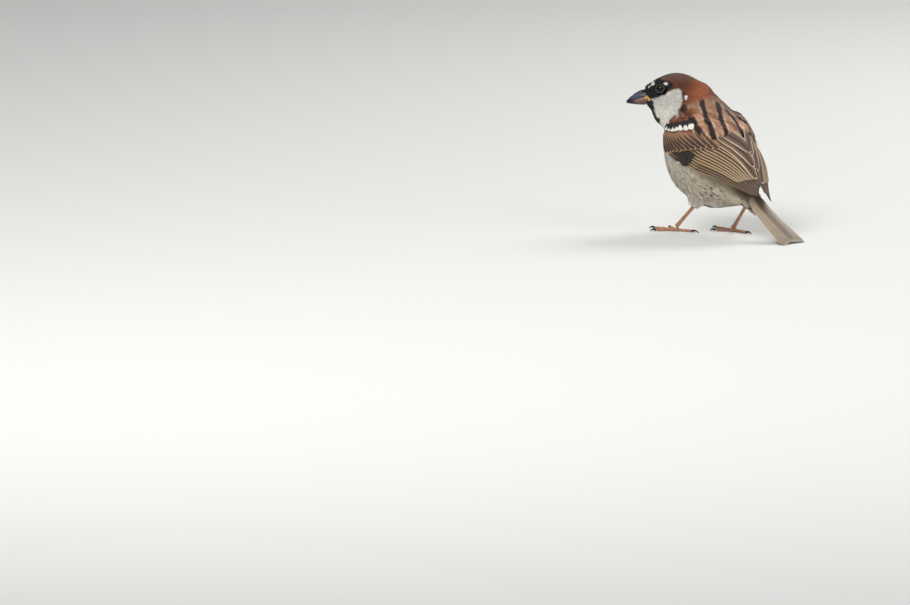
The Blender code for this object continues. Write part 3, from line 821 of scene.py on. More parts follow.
def barb_pattern(barbs, rng, count):
    """For each feather, places of its blades' corners along the shaft and across it, and faces."""
    root = 0.06 + 0.86 * (np.arange(barbs) / (barbs - 1.0)) ** 0.92
    pitch = 0.86 / (barbs - 1.0)
    half = np.sqrt(np.clip(1.0 - ((root - 0.46) / 0.60) ** 2, 0.05, 1.0))
    along, across = [], []
    for side in (-1.0, 1.0):
        jitter = rng.normal(0.0, 1.0, (count, barbs))
        reach = half * (1.0 + 0.10 * rng.normal(0.0, 1.0, (count, barbs)))
        forward = 0.26 * half + 0.05 * jitter * pitch + 0.10 * root
        ones = np.ones((count, barbs))
        along += [
            ones * (root - 0.62 * pitch), ones * (root + 0.62 * pitch),
            root + forward * 0.55 - 0.60 * pitch, root + forward * 0.55 + 0.60 * pitch,
            root + forward + 0.25 * pitch * jitter,
        ]
        across += [
            side * 0.012 * ones, side * 0.012 * ones,
            side * reach * 0.62, side * reach * 0.62, side * reach,
        ]
    by_blade = (count, barbs, 2, BLADE_CORNERS)
    along, across = (
        np.stack(part, axis=-1).reshape(by_blade).transpose(0, 2, 1, 3).reshape(count, -1)
        for part in (along, across)
    )
    first = np.arange(2 * barbs)[:, None] * BLADE_CORNERS
    left, right = first[:barbs], first[barbs:]
    quads = np.vstack((left + (0, 1, 3, 2), right + (0, 2, 3, 1)))
    tips = np.vstack((left + (2, 3, 4), right + (2, 4, 3)))
    return along, across, quads, tips


print("corners of a small feather:", barb_pattern(7, np.random.default_rng(0), 1)[0].shape[1])

# %% [markdown]
# A shaft is traced in a few steps. Each step goes the way the plumage lies there and is then set
# back on the bed, so that the shaft bends with the body under it.

# %% The shaft of a feather
SHAFT_STEPS = 4


def bend_along(spine, values):
    """Reads a per-feather line of points at places from 0 to 1 (and a little beyond)."""
    last = spine.shape[1] - 1
    place = values * last
    step = np.clip(np.floor(place).astype(int), 0, last - 1)
    part = (place - step)[..., None]
    rows = np.arange(len(spine))[:, None]
    return spine[rows, step] * (1.0 - part) + spine[rows, step + 1] * part


def trace_shafts(roots, normals, lengths, turn):
    """Follows the lie of the plumage along the skin from each root."""
    places, ups, ways = [roots], [normals], []
    for _ in range(SHAFT_STEPS):
        way = lie_of(places[-1], ups[-1])
        side = np.cross(ups[-1], way)
        way = way * np.cos(turn)[:, None] + side * np.sin(turn)[:, None]
        ways.append(way)
        place, up = on_bed(places[-1] + way * (lengths / SHAFT_STEPS)[:, None])
        places.append(place)
        ups.append(unit(up + ups[-1]))
    ways.append(ways[-1])
    return np.stack(places, axis=1), np.stack(ups, axis=1), np.stack(ways, axis=1)


shaft = trace_shafts(skin_points[:1], hull_normals[:1], np.array([5.0]), np.zeros(1))[0][0]
print("a shaft of 5 mm ends", round(float(np.linalg.norm(shaft[-1] - shaft[0])), 2), "mm from its root")

# %% [markdown]
# Roots are scattered over the skin by chance, but never closer together than the spacing wanted
# there, as in real plumage, where follicles keep their distance. Spacing, length and looseness
# change smoothly with the distance from the bill: velvety on the face, a finger-smooth cap on the
# crown, and long soft feathers on breast and belly.

# %% How long and how dense the feathers are
LENGTH_LIMITS = (1.0, 8.5)
SPACING_LIMITS = (0.34, 1.35)


def shoulder_share(points):
    """1 on the small coverts of the wing, 0 elsewhere."""
    place = wing_shares(points)
    share = soft_step(4.0, 2.5, np.abs(place[:, 2])) * soft_step(0.17, 0.09, place[:, 0])
    return share * soft_step(0.08, 0.20, place[:, 1])


def tail_share(points):
    """1 on the coverts of the tail, 0 on the body."""
    return soft_step(-20.0, -7.0, (points - TAIL_ROOT) @ TAIL_WAY)


def feather_length(points):
    """Length in millimetres, which grows away from the bill and is less on thigh, shoulder and tail."""
    from_bill = np.linalg.norm(to_head(points) - BILL_BASE, axis=1)
    length = np.clip(0.75 + 0.115 * from_bill, *LENGTH_LIMITS)
    length = length * (1.0 - 0.45 * thigh_share(points)) * (1.0 - 0.6 * shoulder_share(points))
    length = length * (1.0 - 0.18 * soft_step(46.0, 52.0, points[:, 2]))
    beside = soft_step(4.0, 6.5, np.abs(points[:, 1]))
    return length * (1.0 - (0.2 + 0.35 * beside) * tail_share(points))


def feather_spacing(length):
    """Least distance between the roots of feathers of a length."""
    return np.clip(0.12 + 0.15 * length, *SPACING_LIMITS)


print("feather lengths on belly and face:", feather_length(belly_and_face).round(1))

# %% [markdown]
# Many more places are tried than can be kept. Each place that is kept rules out all those that lie
# nearer to it than the spacing.

# %% Roots scattered over the skin
ROOT_TRIES, QUICK_TRIES = 130000, 60000


def scatter_roots(rng, tries):
    """Roots all over the skin, kept apart by the spacing wanted at each."""
    corners = skin_points[hull_triangles]
    middle = corners.mean(axis=1)
    area = np.linalg.norm(np.cross(corners[:, 1] - corners[:, 0], corners[:, 2] - corners[:, 0]), axis=1)
    wanted = area / feather_spacing(feather_length(middle)) ** 2
    face = rng.choice(len(area), size=tries, p=wanted / wanted.sum())
    a, b = rng.random((2, tries, 1))
    a, b = np.where(a + b > 1.0, 1.0 - a, a), np.where(a + b > 1.0, 1.0 - b, b)
    points = corners[face, 0] * (1.0 - a - b) + corners[face, 1] * a + corners[face, 2] * b
    spacing = feather_spacing(feather_length(points))
    finder = KDTree(tries)
    for k, point in enumerate(points):
        finder.insert(point, k)
    finder.balance()
    free = np.ones(tries, bool)
    kept = []
    for k in range(tries):
        if free[k]:
            kept.append(k)
            for _, other, _ in finder.find_range(points[k], spacing[k]):
                free[other] = False
    return points[kept], skin_normals[face[kept]]


rng = np.random.default_rng(20)
roots, root_normals = scatter_roots(rng, ROOT_TRIES)
print("roots:", len(roots))

# %% [markdown]
# Feathers must keep clear of the eyes, so the eyes are given their direction here. Each looks out to
# its side, a little ahead and a little up.

# %% Which way the eyes look
EYE_WAY = (-1.27, 2.28, 0.71)  # ahead, to its own side, and up


def eye_axes(label):
    """Directions forwards round the eye, out of the head, and upwards."""
    out = unit(EYE_WAY * np.array((1.0, SIDES[label], 1.0)))
    up = unit(np.array((0.0, 0.0, 1.0)) - out * out[2])
    return np.array((np.cross(out, up) * -SIDES[label], out, up))


print("the left eye looks along", (eye_axes("left")[1] @ HEAD_AXES).round(2))

# %% [markdown]
# Some of these roots lie where no small feather may grow: in the eye, at the bill, on the quills of
# the tail, or below the folded wing, where nobody will ever see one. They are taken out.

# %% Roots that stay
EYE_CLEAR = 2.7  # how far from the line through each eye the feathers stop
wing_place = wing_shares(roots)
bar = np.interp(wing_place[:, 0], *BAR_LINE)
behind = 0.25 + 0.09 * soft_step(0.36, 0.26, wing_place[:, 1])  # along the wing, where quills hide all
under_wing = (wing_place[:, 0] > behind) & (wing_place[:, 1] > 0.08) & (wing_place[:, 1] < 0.92)
over = 0.09 + 0.08 * soft_step(0.01, 0.05, wing_place[:, 0])  # how far over the bar they stop
over = over - 0.15 * soft_step(0.08, 0.18, wing_place[:, 0])
on_coverts = (wing_place[:, 0] > -0.03) & (wing_place[:, 0] < 0.26)
under_wing |= on_coverts & (wing_place[:, 1] > bar - over) & (wing_place[:, 1] < 0.95)
under_wing &= (np.abs(wing_place[:, 2]) < 4.5) & (wing_place[:, 0] < 0.97)
in_eye = np.zeros(len(roots), bool)
reach = lie_of(roots, root_normals) * (0.7 * feather_length(roots))[:, None]
for label in SIDES:
    out = eye_axes(label)[1]
    for place in (roots, roots + reach):
        gap = to_head(place) - to_head(EYES[label])
        aside = np.linalg.norm(gap - (gap @ out)[:, None] * out, axis=1)
        in_eye |= (aside < EYE_CLEAR) & (gap @ out > 0.0)
head_place = to_head(roots)
at_bill = (head_place[:, 0] < -19.0) & (np.abs(head_place[:, 1]) < 4.4) & (head_place[:, 2] < 0.5)
at_bill |= (patch(head_place[:, 0], head_place[:, 2], GAPE, 0.1) > 0.5) & (np.abs(head_place[:, 1]) > 0.8)
down_tail = (roots - TAIL_ROOT) @ TAIL_WAY
middle = np.abs(roots[:, 1]) < 5.5
over_tail, under_tail = np.where(middle, -4.5, -0.5), np.where(middle, 4.5, 2.0)
on_tail_quills = down_tail > np.where(body_place(roots)[2] < 0.0, under_tail, over_tail)
stays = ~(under_wing | in_eye | at_bill | on_tail_quills)
roots, root_normals = roots[stays], root_normals[stays]
print("roots that stay:", len(roots))

# %% [markdown]
# The rest are sorted into five pieces, so that none grows too heavy to handle: face, nape, back,
# breast and belly. The small feathers of the face need fewer barbs than the long ones.

# %% Five pieces
on_head = head_share(roots) > 0.5
faces_up = body_place(roots)[2] > 0.1
low = roots[:, 2] < 44.0
fore = to_head(roots)[:, 0] < 0.0
COAT_PIECES = {
    "face_feathers": (on_head & fore, "crown_feathers", 7),
    "nape_feathers": (on_head & ~fore, "crown_feathers", 9),
    "back_feathers": (~on_head & faces_up, "mantle_feathers", 15),
    "breast_feathers": (~on_head & ~faces_up & ~low, "belly_feathers", 15),
    "belly_feathers": (~on_head & ~faces_up & low, "belly_feathers", 15),
}
for name, (chosen, slot, barbs) in COAT_PIECES.items():
    print(name, int(chosen.sum()), "feathers,", int(chosen.sum()) * barbs * 6, "triangles")

# %% [markdown]
# Each feather gets its own small patch of the texture map, so that a finer texture can be put on
# later. The patch lies at the root's place on a map of the body opened out along its axis, or of
# the head opened out round the line from the bill to the nape.

# %% Places on the texture map
TUFT_PATCH = 0.003  # size of one feather on the texture map
HEAD_REACH = 58.0  # where the head's map ends, in millimetres from the bill


def body_unwrap(points):
    """Each root's place on the body opened out: round it and along it."""
    share, _, up, side = body_place(points)
    turn = np.arctan2(side, up) / (2.0 * math.pi) + 0.5
    return np.column_stack((0.02 + 0.95 * turn, 0.02 + 0.95 * share))


def head_unwrap(points):
    """The same on the head: round the line from bill to nape, and along it."""
    place = to_head(points) - BILL_BASE
    turn = np.arctan2(place[:, 1], place[:, 2] - 0.1 * place[:, 0]) / (2.0 * math.pi) + 0.5
    reach = np.linalg.norm(place, axis=1) / HEAD_REACH
    return np.column_stack((0.02 + 0.95 * turn, 0.02 + 0.95 * np.clip(reach, 0.0, 1.0)))


def add_map(obj, name, places):
    """A texture map from one place for each vertex."""
    layer = obj.data.uv_layers.new(name=name)
    index = np.zeros(len(obj.data.loops), int)
    obj.data.loops.foreach_get("vertex_index", index)
    layer.data.foreach_set("uv", places[index].ravel())


print("first root of the body on the map:", body_unwrap(roots[~on_head][:1]).round(2))

# %% [markdown]
# Each piece is then made in one go, from arrays with one row for each feather. The height of a blade
# over the bed grows towards its tip, curls up at the end, and falls off to the sides of the shaft. A
# feather takes part of its colour from the place near its tip, so that markings end in ragged
# feather ends and not in a drawn line. It is darker at the root, partly for the grey down there and
# partly as painted shade under the feathers that lie over it. Every blade is a touch lighter or darker
# than the next, and the edges are paler, as worn feather edges are.

# %% Feathers from arrays
def feather_piece(name, roots, normals, barbs, unwrap, seed, lengths, widths, lift, curl, own_share):
    """One mesh of many feathers, with its paint and its texture map."""
    rng = np.random.default_rng(seed)
    count = len(roots)
    lengths = lengths * rng.uniform(0.88, 1.12, count)
    widths = widths * rng.uniform(0.9, 1.1, count)
    turn = rng.normal(0.0, 0.10, count)
    spine, ups, ways = trace_shafts(roots, normals, lengths, turn)
    along, across, quads, tips = barb_pattern(barbs, rng, count)
    middle = bend_along(spine, along)
    up = unit(bend_along(ups, along))
    way = unit(bend_along(ways, along))
    side = np.cross(up, way)
    corner = np.tile(np.arange(BLADE_CORNERS), 2 * barbs)
    ragged = rng.normal(0.0, 1.0, (count, 2 * barbs)).repeat(BLADE_CORNERS, axis=1)
    ragged = ragged * np.isin(corner, (2, 3, 4))
    tilt = np.isin(corner, (1, 3)) * -0.05 + np.isin(corner, (0, 2)) * 0.05
    base_lift = lift * rng.uniform(0.75, 1.25, count)
    height = 0.06 + base_lift[:, None] * np.clip(along, 0.0, 1.1) ** 0.75
    height = height + curl[:, None] * np.clip(along - 0.55, 0.0, 0.6) ** 2
    height = height - widths[:, None] * 0.20 * across**2 + 0.035 * ragged * np.abs(across) + tilt * 0.6
    points = middle + side * (across * widths[:, None])[..., None]
    points = points + up * np.maximum(height, 0.02)[..., None]
    tip = bend_along(spine, np.full((count, 1), 0.78))[:, 0]
    own = own_share * points + (1.0 - own_share) * tip[:, None, :]
    colour = plumage(own.reshape(-1, 3))
    shade = 1.0 + 0.09 * rng.normal(0.0, 1.0, (count, 1)) + 0.09 * ragged
    # darker towards the root: partly the grey down, partly painted shade under the feathers lying over it
    down = 0.6 + 0.4 * soft_step(0.05, 0.5, along)
    edge = 1.0 + 0.10 * np.abs(across) ** 2
    colour = colour.reshape(count, -1, 3) * (np.clip(shade, 0.6, 1.4) * down * edge)[..., None]
    offset = np.arange(count)[:, None, None] * points.shape[1]
    faces = [(offset + quads).reshape(-1, 4), (offset + tips).reshape(-1, 3)]
    obj = new_object(name, points.reshape(-1, 3), faces, np.clip(colour.reshape(-1, 3), 0.0, 1.0))
    spot_on = unwrap(roots)[:, None, :]
    local = np.stack((across * 0.5 + 0.5, np.clip(along, 0.0, 1.1) / 1.1), axis=-1)
    add_map(obj, "OFBake", (spot_on + local * TUFT_PATCH).reshape(-1, 2))
    return obj


print("corners of a long feather:", 2 * 15 * BLADE_CORNERS)

# %% [markdown]
# Forehead, rump and the lower back between the wings get fuller feathers, which stand off more. The
# coverts of the tail lie flat. With that the five pieces of the coat can be made.

# %% The coat
SADDLE = np.array((30.0, 1.5, 57.0))  # the lower back, where it comes out between the wings
SADDLE_FILL, SADDLE_REACH = 2.2, 6.0


def fullness(points):
    """Extra lift of the feathers of forehead, lower back and rump, which stand fuller."""
    place = to_head(points)
    forehead = soft_step(-8.0, -12.0, place[:, 0]) * soft_step(-0.5, 2.0, place[:, 2])
    up = body_place(points)[2]
    rump = soft_step(-22.0, -10.0, (points - TAIL_ROOT) @ TAIL_WAY) * soft_step(0.2, 0.6, up)
    saddle = np.exp(-(np.linalg.norm(points - SADDLE, axis=1) ** 2) / SADDLE_REACH**2)
    return 0.45 * forehead + 1.0 * rump + SADDLE_FILL * saddle


coat = []
for number, (name, (chosen, slot, barbs)) in enumerate(COAT_PIECES.items()):
    place = roots[chosen]
    lengths = feather_length(place) * 1.12
    obj = feather_piece(
        name, place, root_normals[chosen], barbs,
        head_unwrap if slot == "crown_feathers" else body_unwrap,
        seed=30 + number,
        lengths=lengths,
        widths=0.23 * lengths + 0.12,
        lift=(0.12 + 0.115 * lengths) * (1.0 - 0.75 * tail_share(place)) + fullness(place),
        curl=0.35 * (1.0 - tail_share(place)),
        own_share=0.8 if name == "back_feathers" else 0.5,
    )
    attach(obj, "root")
    coat.append(obj)
    print(name, "faces:", len(obj.data.polygons))

# %% [markdown]
# The quills of wing and tail are stiff vanes, and unlike body feathers they keep a clean outline.
# Each is a thin closed sheet with a raised shaft down its middle, rounded at the tip. A folded wing
# is a fan that has been shut: every quill lies under its neighbour nearer the back and shows only
# the strip along its outer edge, so a difference in height of a tenth of a millimetre from one to the
# next is enough to give the rows of fine edges that one sees on a sparrow's wing.

# %% Shape of one quill
VANE_ACROSS = np.array((-1.0, -0.86, -0.72, -0.4, -0.07, 0.0, 0.07, 0.34, 0.56, 0.72, 0.86, 1.0))
VANE_ROWS = 1.0 - (1.0 - np.linspace(0.0, 1.0, 26)) ** 1.6  # closer together towards the rounded tip
VANE_THICK = 0.10
OUTER_WIDTH, INNER_WIDTH = 0.85, 1.15  # the outer side of a vane is narrower than the inner one


def vane_half(along, round_from):
    """Half width of a quill along its length, as a share of its widest."""
    growing = 0.25 + 0.75 * soft_step(0.0, 0.22, along)
    part = np.clip((along - round_from) / (1.0 - round_from), 0.0, 1.0)
    return growing * np.sqrt(np.clip(1.0 - part**2.2, 0.0, 1.0)) + 0.015


def vane_faces(rows, columns):
    """Faces of a closed sheet: its upper side, its lower side and the rim."""
    grid = np.arange(rows * columns).reshape(rows, columns)
    upper = np.stack((grid[:-1, :-1], grid[:-1, 1:], grid[1:, 1:], grid[1:, :-1]), axis=-1).reshape(-1, 4)
    low = grid + rows * columns
    lower = np.stack((low[:-1, :-1], low[1:, :-1], low[1:, 1:], low[:-1, 1:]), axis=-1).reshape(-1, 4)
    loop = np.concatenate((grid[0, :], grid[1:, -1], grid[-1, -2::-1], grid[-2:0:-1, 0]))
    following = np.roll(loop, -1)
    shift = rows * columns
    rim = np.stack((loop, loop + shift, following + shift, following), axis=-1)
    return np.vstack((upper, lower, rim))


print("quill half widths:", vane_half(VANE_ROWS[::5], 0.84).round(2))

# %% [markdown]
# Quills that belong together are collected and become one piece. Each gets its own square on the
# texture map, and a second map named vane, which says for each point how far along and across the
# vane it lies, for the fine lines of the barbs.

# %% Many quills in one piece
FLOOR_CLEAR = 0.04  # least height of a quill over the floor


class QuillSet:
    """Collects quills that become one piece."""

    def __init__(self, name, places_across):
        self.name, self.places_across = name, places_across
        self.points, self.colours, self.faces, self.places, self.vanes = [], [], [], [], []

    def add(self, upper, lower, colour):
        rows, columns = upper.shape[:2]
        start = sum(len(part) for part in self.points)
        self.points += [upper.reshape(-1, 3), lower.reshape(-1, 3)]
        # the lower side takes the same paint a quarter darker, as painted shade
        self.colours += [colour.reshape(-1, 3), colour.reshape(-1, 3) * 0.75]
        self.faces.append(vane_faces(rows, columns) + start)
        number = len(self.faces) - 1
        cell = 1.0 / self.places_across
        column, row = number % self.places_across, number // self.places_across
        along = np.linspace(0.0, 1.0, rows)[:, None] + np.zeros((1, columns))
        across = np.linspace(0.0, 1.0, columns)[None, :] + np.zeros((rows, 1))
        for half in (0.0, 0.5):  # upper side on the left of its place on the map, lower side on the right
            u = (column + 0.03 + half * 0.97 + across * 0.44) * cell
            v = (row + 0.03 + along * 0.94) * cell
            self.places.append(np.stack((u, v), axis=-1).reshape(-1, 2))
            self.vanes.append(np.stack((across - 0.5, along), axis=-1).reshape(-1, 2))

    def build(self, slot, *replaced):
        assert len(self.faces) <= self.places_across**2
        points = np.vstack(self.points)
        points[:, 2] = np.maximum(points[:, 2], FLOOR_CLEAR)
        faces = np.vstack(self.faces)
        obj = new_object(self.name, points, faces, np.clip(np.vstack(self.colours), 0.0, 1.0))
        add_map(obj, "OFBake", np.vstack(self.places))
        add_map(obj, "vane", np.vstack(self.vanes))
        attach(obj, "root")
        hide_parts(*replaced)
        print(self.name, "quills:", len(self.faces), "faces:", len(faces))
        return obj


print("corners of a quill:", 2 * len(VANE_ROWS) * len(VANE_ACROSS))

# %% [markdown]
# A wing quill is placed by the shares of its root and tip on the wing map. Its width is stepped out
# sideways on the map too, so that the vane bends with the wing and never cuts into it.

# %% One quill on the wing
QUILL_BOW = 0.02  # how far the middle of a quill bows towards the belly, as a share across the wing
MIDLINE_CLEAR = 0.15


def wing_vane(label, root, tip, half, heights, round_from, late):
    """Upper and lower points of a quill that lies on the wing, from its root to its tip."""
    s = VANE_ROWS
    along = root[0] + (tip[0] - root[0]) * s
    share = root[1] + (tip[1] - root[1]) * s + QUILL_BOW * np.sin(math.pi * s)
    points, normals = WING_MAPS[label]
    step = 0.01
    down = (read_map(points, along + step, share) - read_map(points, along - step, share)) / (2 * step)
    over = (read_map(points, along, share + step) - read_map(points, along, share - step)) / (2 * step)
    centre = on_wing(label, along, share)
    way = unit(np.gradient(centre, axis=0))
    up = unit(read_map(normals, along, share))
    side = np.cross(up, way)
    side = side * np.sign(np.sum(side * over, axis=1, keepdims=True))  # towards the belly
    a, b, c = (np.sum(p * q, axis=1) for p, q in ((down, down), (down, over), (over, over)))
    p, q = np.sum(side * down, axis=1), np.sum(side * over, axis=1)
    det = a * c - b * b
    per_mm = np.stack(((c * p - b * q) / det, (a * q - b * p) / det), axis=-1)
    widths = np.where(VANE_ACROSS > 0.0, OUTER_WIDTH, INNER_WIDTH) * VANE_ACROSS
    reach = half * vane_half(s, round_from)[:, None] * widths[None, :]
    ridge = 0.02 * np.exp(-((VANE_ACROSS / 0.06) ** 2)) * soft_step(1.0, 0.8, s)[:, None]
    sag = -0.02 * VANE_ACROSS[None, :] ** 2
    height = (heights[0] + (heights[1] - heights[0]) * s**late)[:, None] + ridge + sag
    at = along[:, None] + per_mm[:, :1] * reach, share[:, None] + per_mm[:, 1:] * reach
    upper = on_wing(label, *at, height)
    lower = on_wing(label, *at, height - VANE_THICK)
    for sheet in (upper, lower):  # neither wing crosses the middle
        sheet[..., 1] = np.maximum(sheet[..., 1] * SIDES[label], MIDLINE_CLEAR) * SIDES[label]
    return upper, lower


upper = wing_vane("left", (0.34, 0.5), (0.8, 0.3), 2.2, (-0.4, -0.3), 0.84, 1.0)[0]
print("a secondary is", round(float(np.linalg.norm(upper[-1, 5] - upper[0, 5])), 1), "mm long")

# %% [markdown]
# What makes a sparrow's wing is its edges. Secondaries are dark with a golden outer edge, the long
# primaries are plainer with a narrow buff edge, the three tertials have broad cream borders, and
# the greater coverts are dark in the middle and warm brown outside. Median coverts are black with
# wide white tips, which line up as the wing bar.

# %% Paint of the quills
FIELD_ALONG, FIELD_ACROSS = np.broadcast_arrays(VANE_ROWS[:, None], VANE_ACROSS[None, :])
QUILL_GREY = paint(98, 82, 72)
TERTIAL_BROWN = paint(126, 101, 86)
GOLD_EDGE = paint(196, 160, 114)
BUFF_EDGE = paint(204, 180, 142)
COVERT_BROWN = paint(142, 104, 76)
CREAM_EDGE = paint(222, 202, 168)


def shaft_line(across):
    """1 on the shaft, falling off beside it."""
    return np.exp(-((across / 0.05) ** 2))


# Each rule below takes the shares along (s) and across (w) a quill, and w is positive outside.
def paint_secondary(s, w):
    inner = mixed(QUILL_DARK, QUILL_GREY, 0.25 + 0.25 * soft_step(0.2, 1.0, s))
    edge = soft_step(0.64, 0.76, w) * soft_step(1.02, 0.95, s)
    colour = mixed(inner, mixed(GOLD_EDGE, BUFF_EDGE, soft_step(0.4, 1.0, s)), edge)
    tip = soft_step(0.975, 0.995, s)
    return mixed(mixed(colour, BUFF_EDGE, 0.7 * tip), QUILL_DARK * 0.6, 0.7 * shaft_line(w))


def paint_primary(s, w):
    inner = mixed(QUILL_DARK, QUILL_GREY, 0.35 + 0.35 * soft_step(0.5, 1.0, s))
    edge = soft_step(0.76, 0.88, w) * (0.25 + 0.65 * soft_step(0.9, 0.3, s))
    base = soft_step(0.16, 0.08, s) * soft_step(-0.1, 0.25, w)
    colour = mixed(inner, GOLD_EDGE, np.clip(edge + base, 0.0, 1.0))
    return mixed(colour, QUILL_DARK * 0.6, 0.7 * shaft_line(w))


def paint_tertial(s, w):
    core = mixed(QUILL_DARK, TERTIAL_BROWN, 0.25 + 0.6 * soft_step(0.05, 0.6, np.abs(w + 0.1)))
    reach = np.maximum(soft_step(0.74, 0.88, w), 0.85 * soft_step(-0.80, -0.93, w))
    edge = np.maximum(reach, soft_step(0.965, 0.99, s))
    warm = mixed(CREAM_EDGE, GOLD_EDGE, 0.6 * soft_step(0.7, 0.3, s))
    return mixed(mixed(core, warm, edge), QUILL_DARK * 0.6, 0.8 * shaft_line(w))


def paint_greater(s, w):
    swelling = 0.16 * soft_step(0.35, 0.8, s) * soft_step(1.0, 0.92, s)
    core = soft_step(0.38, 0.24, np.abs(w - 0.28) - 1.5 * swelling) * soft_step(0.1, 0.35, s)
    colour = mixed(COVERT_BROWN, QUILL_DARK, 0.95 * core * soft_step(0.985, 0.95, s))
    edge = np.maximum(soft_step(0.80, 0.95, np.abs(w)), soft_step(0.95, 0.985, s))
    return mixed(colour, GOLD_EDGE, 0.8 * edge)


def paint_median(s, w):
    return mixed(BLACK, WHITE, soft_step(0.42, 0.54, s - 0.16 * np.abs(w)))


def paint_alula(s, w):
    edge = soft_step(0.66, 0.86, w) * soft_step(0.75, 0.4, s)
    return mixed(mixed(COVERT_BROWN, QUILL_DARK * 0.8, soft_step(0.08, 0.35, s)), GOLD_EDGE, 0.7 * edge)


gold = paint_secondary(FIELD_ALONG, FIELD_ACROSS)[10, -1]
print("edge of a secondary in linear values:", gold.round(2))

# %% [markdown]
# One table holds the plan of the wing: for each row how many quills it has, where its first and
# last quill start and end on the wing map, and how wide and how high they lie. A few more tables
# hold what only some rows need.

# %% The rows of the wing
WING_ROWS = {
    # name: count, first root, last root, first tip, last tip, half width, root and tip heights
    "primary": (9, (0.38, 0.50), (0.38, 0.93), (0.90, -0.13), (0.995, 0.58), 2.3, (-1.2, 0.0)),
    "secondary": (9, (0.32, 0.28), (0.34, 0.74), (0.83, -0.06), (0.78, 0.46), 2.5, (-0.6, -0.2)),
    "tertial": (3, (0.29, 0.08), (0.31, 0.24), (0.61, -0.07), (0.83, 0.0), 3.7, (-1.7, 0.55)),
    "primary_covert": (6, (0.25, 0.76), (0.22, 0.93), (0.41, 0.70), (0.42, 0.90), 1.8, (-0.9, -0.6)),
    "alula": (2, (0.22, 0.90), (0.20, 0.94), (0.385, 0.80), (0.41, 0.87), 1.6, (-0.45, -0.25)),
    "greater": (12, (0.27, 0.20), (0.01, 0.86), (0.475, 0.31), (0.22, 0.98), 2.15, (-0.1, 0.25)),
    "median": (10, (0.17, 0.10), (-0.06, 0.52), (0.26, 0.25), (0.035, 0.68), 2.0, (0.1, 0.3)),
}
QUILL_PAINTS = {
    "primary": paint_primary, "secondary": paint_secondary, "tertial": paint_tertial,
    "primary_covert": paint_alula, "alula": paint_alula, "greater": paint_greater, "median": paint_median,
}
QUILL_DROP = {"primary": 0.06, "secondary": 0.055, "tertial": 0.14, "greater": 0.05}  # each one deeper
ROUND_FROM = {"tertial": 0.56, "greater": 0.78, "median": 0.66, "secondary": 0.88}
RISES_LATE = {"primary": 4.0, "tertial": 0.25}  # over 1 a quill stays low until near its tip
CLEARANCE = {"greater": 0.15, "median": 0.75}  # least height over the skin of what lies on it
MEDIAN_SHIFT = 0.08  # how unevenly the white of the median coverts starts
print("quills on each wing:", sum(row[0] for row in WING_ROWS.values()))

# %% [markdown]
# The quills are laid in from the tip of the wing up to the shoulder, each row over the one before,
# as one would stick feathers on a carved decoy.

# %% Quills of both wings
def spread(first, last, part):
    """A place between two places on the wing map."""
    return tuple(a + (b - a) * part for a, b in zip(first, last))


def clear_of_bed(upper, least):
    """How far each row of a quill has to rise to lie clear of the skin."""
    flat = upper.reshape(-1, 3)
    places, normals = on_bed(flat)
    gap = np.sum((flat - places) * normals, axis=1).reshape(upper.shape[:2])
    rise = np.clip(least - gap, 0.0, 3.0).max(axis=1)
    rise = np.convolve(np.pad(rise, 2, mode="edge"), np.full(5, 0.2), mode="valid")
    away = unit(normals.reshape(upper.shape).mean(axis=1))
    return away[:, None, :] * rise[:, None, None]


def wing_quills(label):
    """All quills of one wing, as one piece."""
    rng = np.random.default_rng(50)
    quills = QuillSet(f"quills_{label}", 8)
    for name, (count, *ends, half, heights) in WING_ROWS.items():
        first_root, last_root, first_tip, last_tip = ends
        for k in reversed(range(count)):
            part = k / (count - 1.0)
            root = spread(first_root, last_root, part)
            tip = list(spread(first_tip, last_tip, part))
            if name == "primary":  # the longest come close together at the wing's point
                tip[0] = first_tip[0] + (last_tip[0] - first_tip[0]) * (1.0 - (1.0 - part) ** 1.8)
                tip[0] -= 0.02 * soft_step(0.8, 1.0, part)
            tip[0] += rng.normal(0.0, 0.004)
            drop = QUILL_DROP.get(name, 0.05) * k
            width = half * rng.uniform(0.95, 1.05)
            upper, lower = wing_vane(
                label, root, tip, width, [h - drop for h in heights],
                ROUND_FROM.get(name, 0.84), RISES_LATE.get(name, 1.0),
            )
            if name in CLEARANCE:
                rise = clear_of_bed(upper, CLEARANCE[name] + 0.04 * (count - k))
                upper, lower = upper + rise, lower + rise
            s, w = FIELD_ALONG, FIELD_ACROSS
            shift = MEDIAN_SHIFT * rng.normal() if name == "median" else 0.0
            colour = QUILL_PAINTS[name](s + shift, w) * (1.0 + 0.05 * rng.normal())
            streaks = 1.0 + 0.05 * np.sin(s * 90.0 - np.abs(w) * 9.0 + rng.uniform(0, 6))
            quills.add(upper, lower, colour * streaks[..., None])
    return quills.build(
        "wing_feathers", *(f"wing_{label}_{part}" for part in ("secondaries", "primaries"))
    )


wing_pieces = [wing_quills(label) for label in SIDES]

# %% [markdown]
# The tail has twelve quills. The middle pair lies on top and the others fan out under it, so that
# from above one sees the whole of the middle pair and only the outer edges of the rest. Each quill
# is grey-brown with a paler edge.

# %% Quills of the tail
TAIL_STATIONS = np.array(
    ((0, 8.2, 4.5), (7, 8.0, 3.6), (15, 8.0, 2.2), (24, 8.7, 1.0), (44.8, 10.4, 0.6))
)  # distance from the root, half width, half thickness
TAIL_CAMBER = 1.1
TAIL_END, TAIL_NOTCH = 44.6, 2.2  # reach of the outermost quills, and how much shorter the middle is
TAIL_HALF = 3.3  # half width of a quill
TAIL_UP = np.cross(np.array((0.0, -1.0, 0.0)), TAIL_WAY)
TAIL_BROWN = paint(120, 104, 89)
TAIL_EDGE = paint(190, 172, 146)


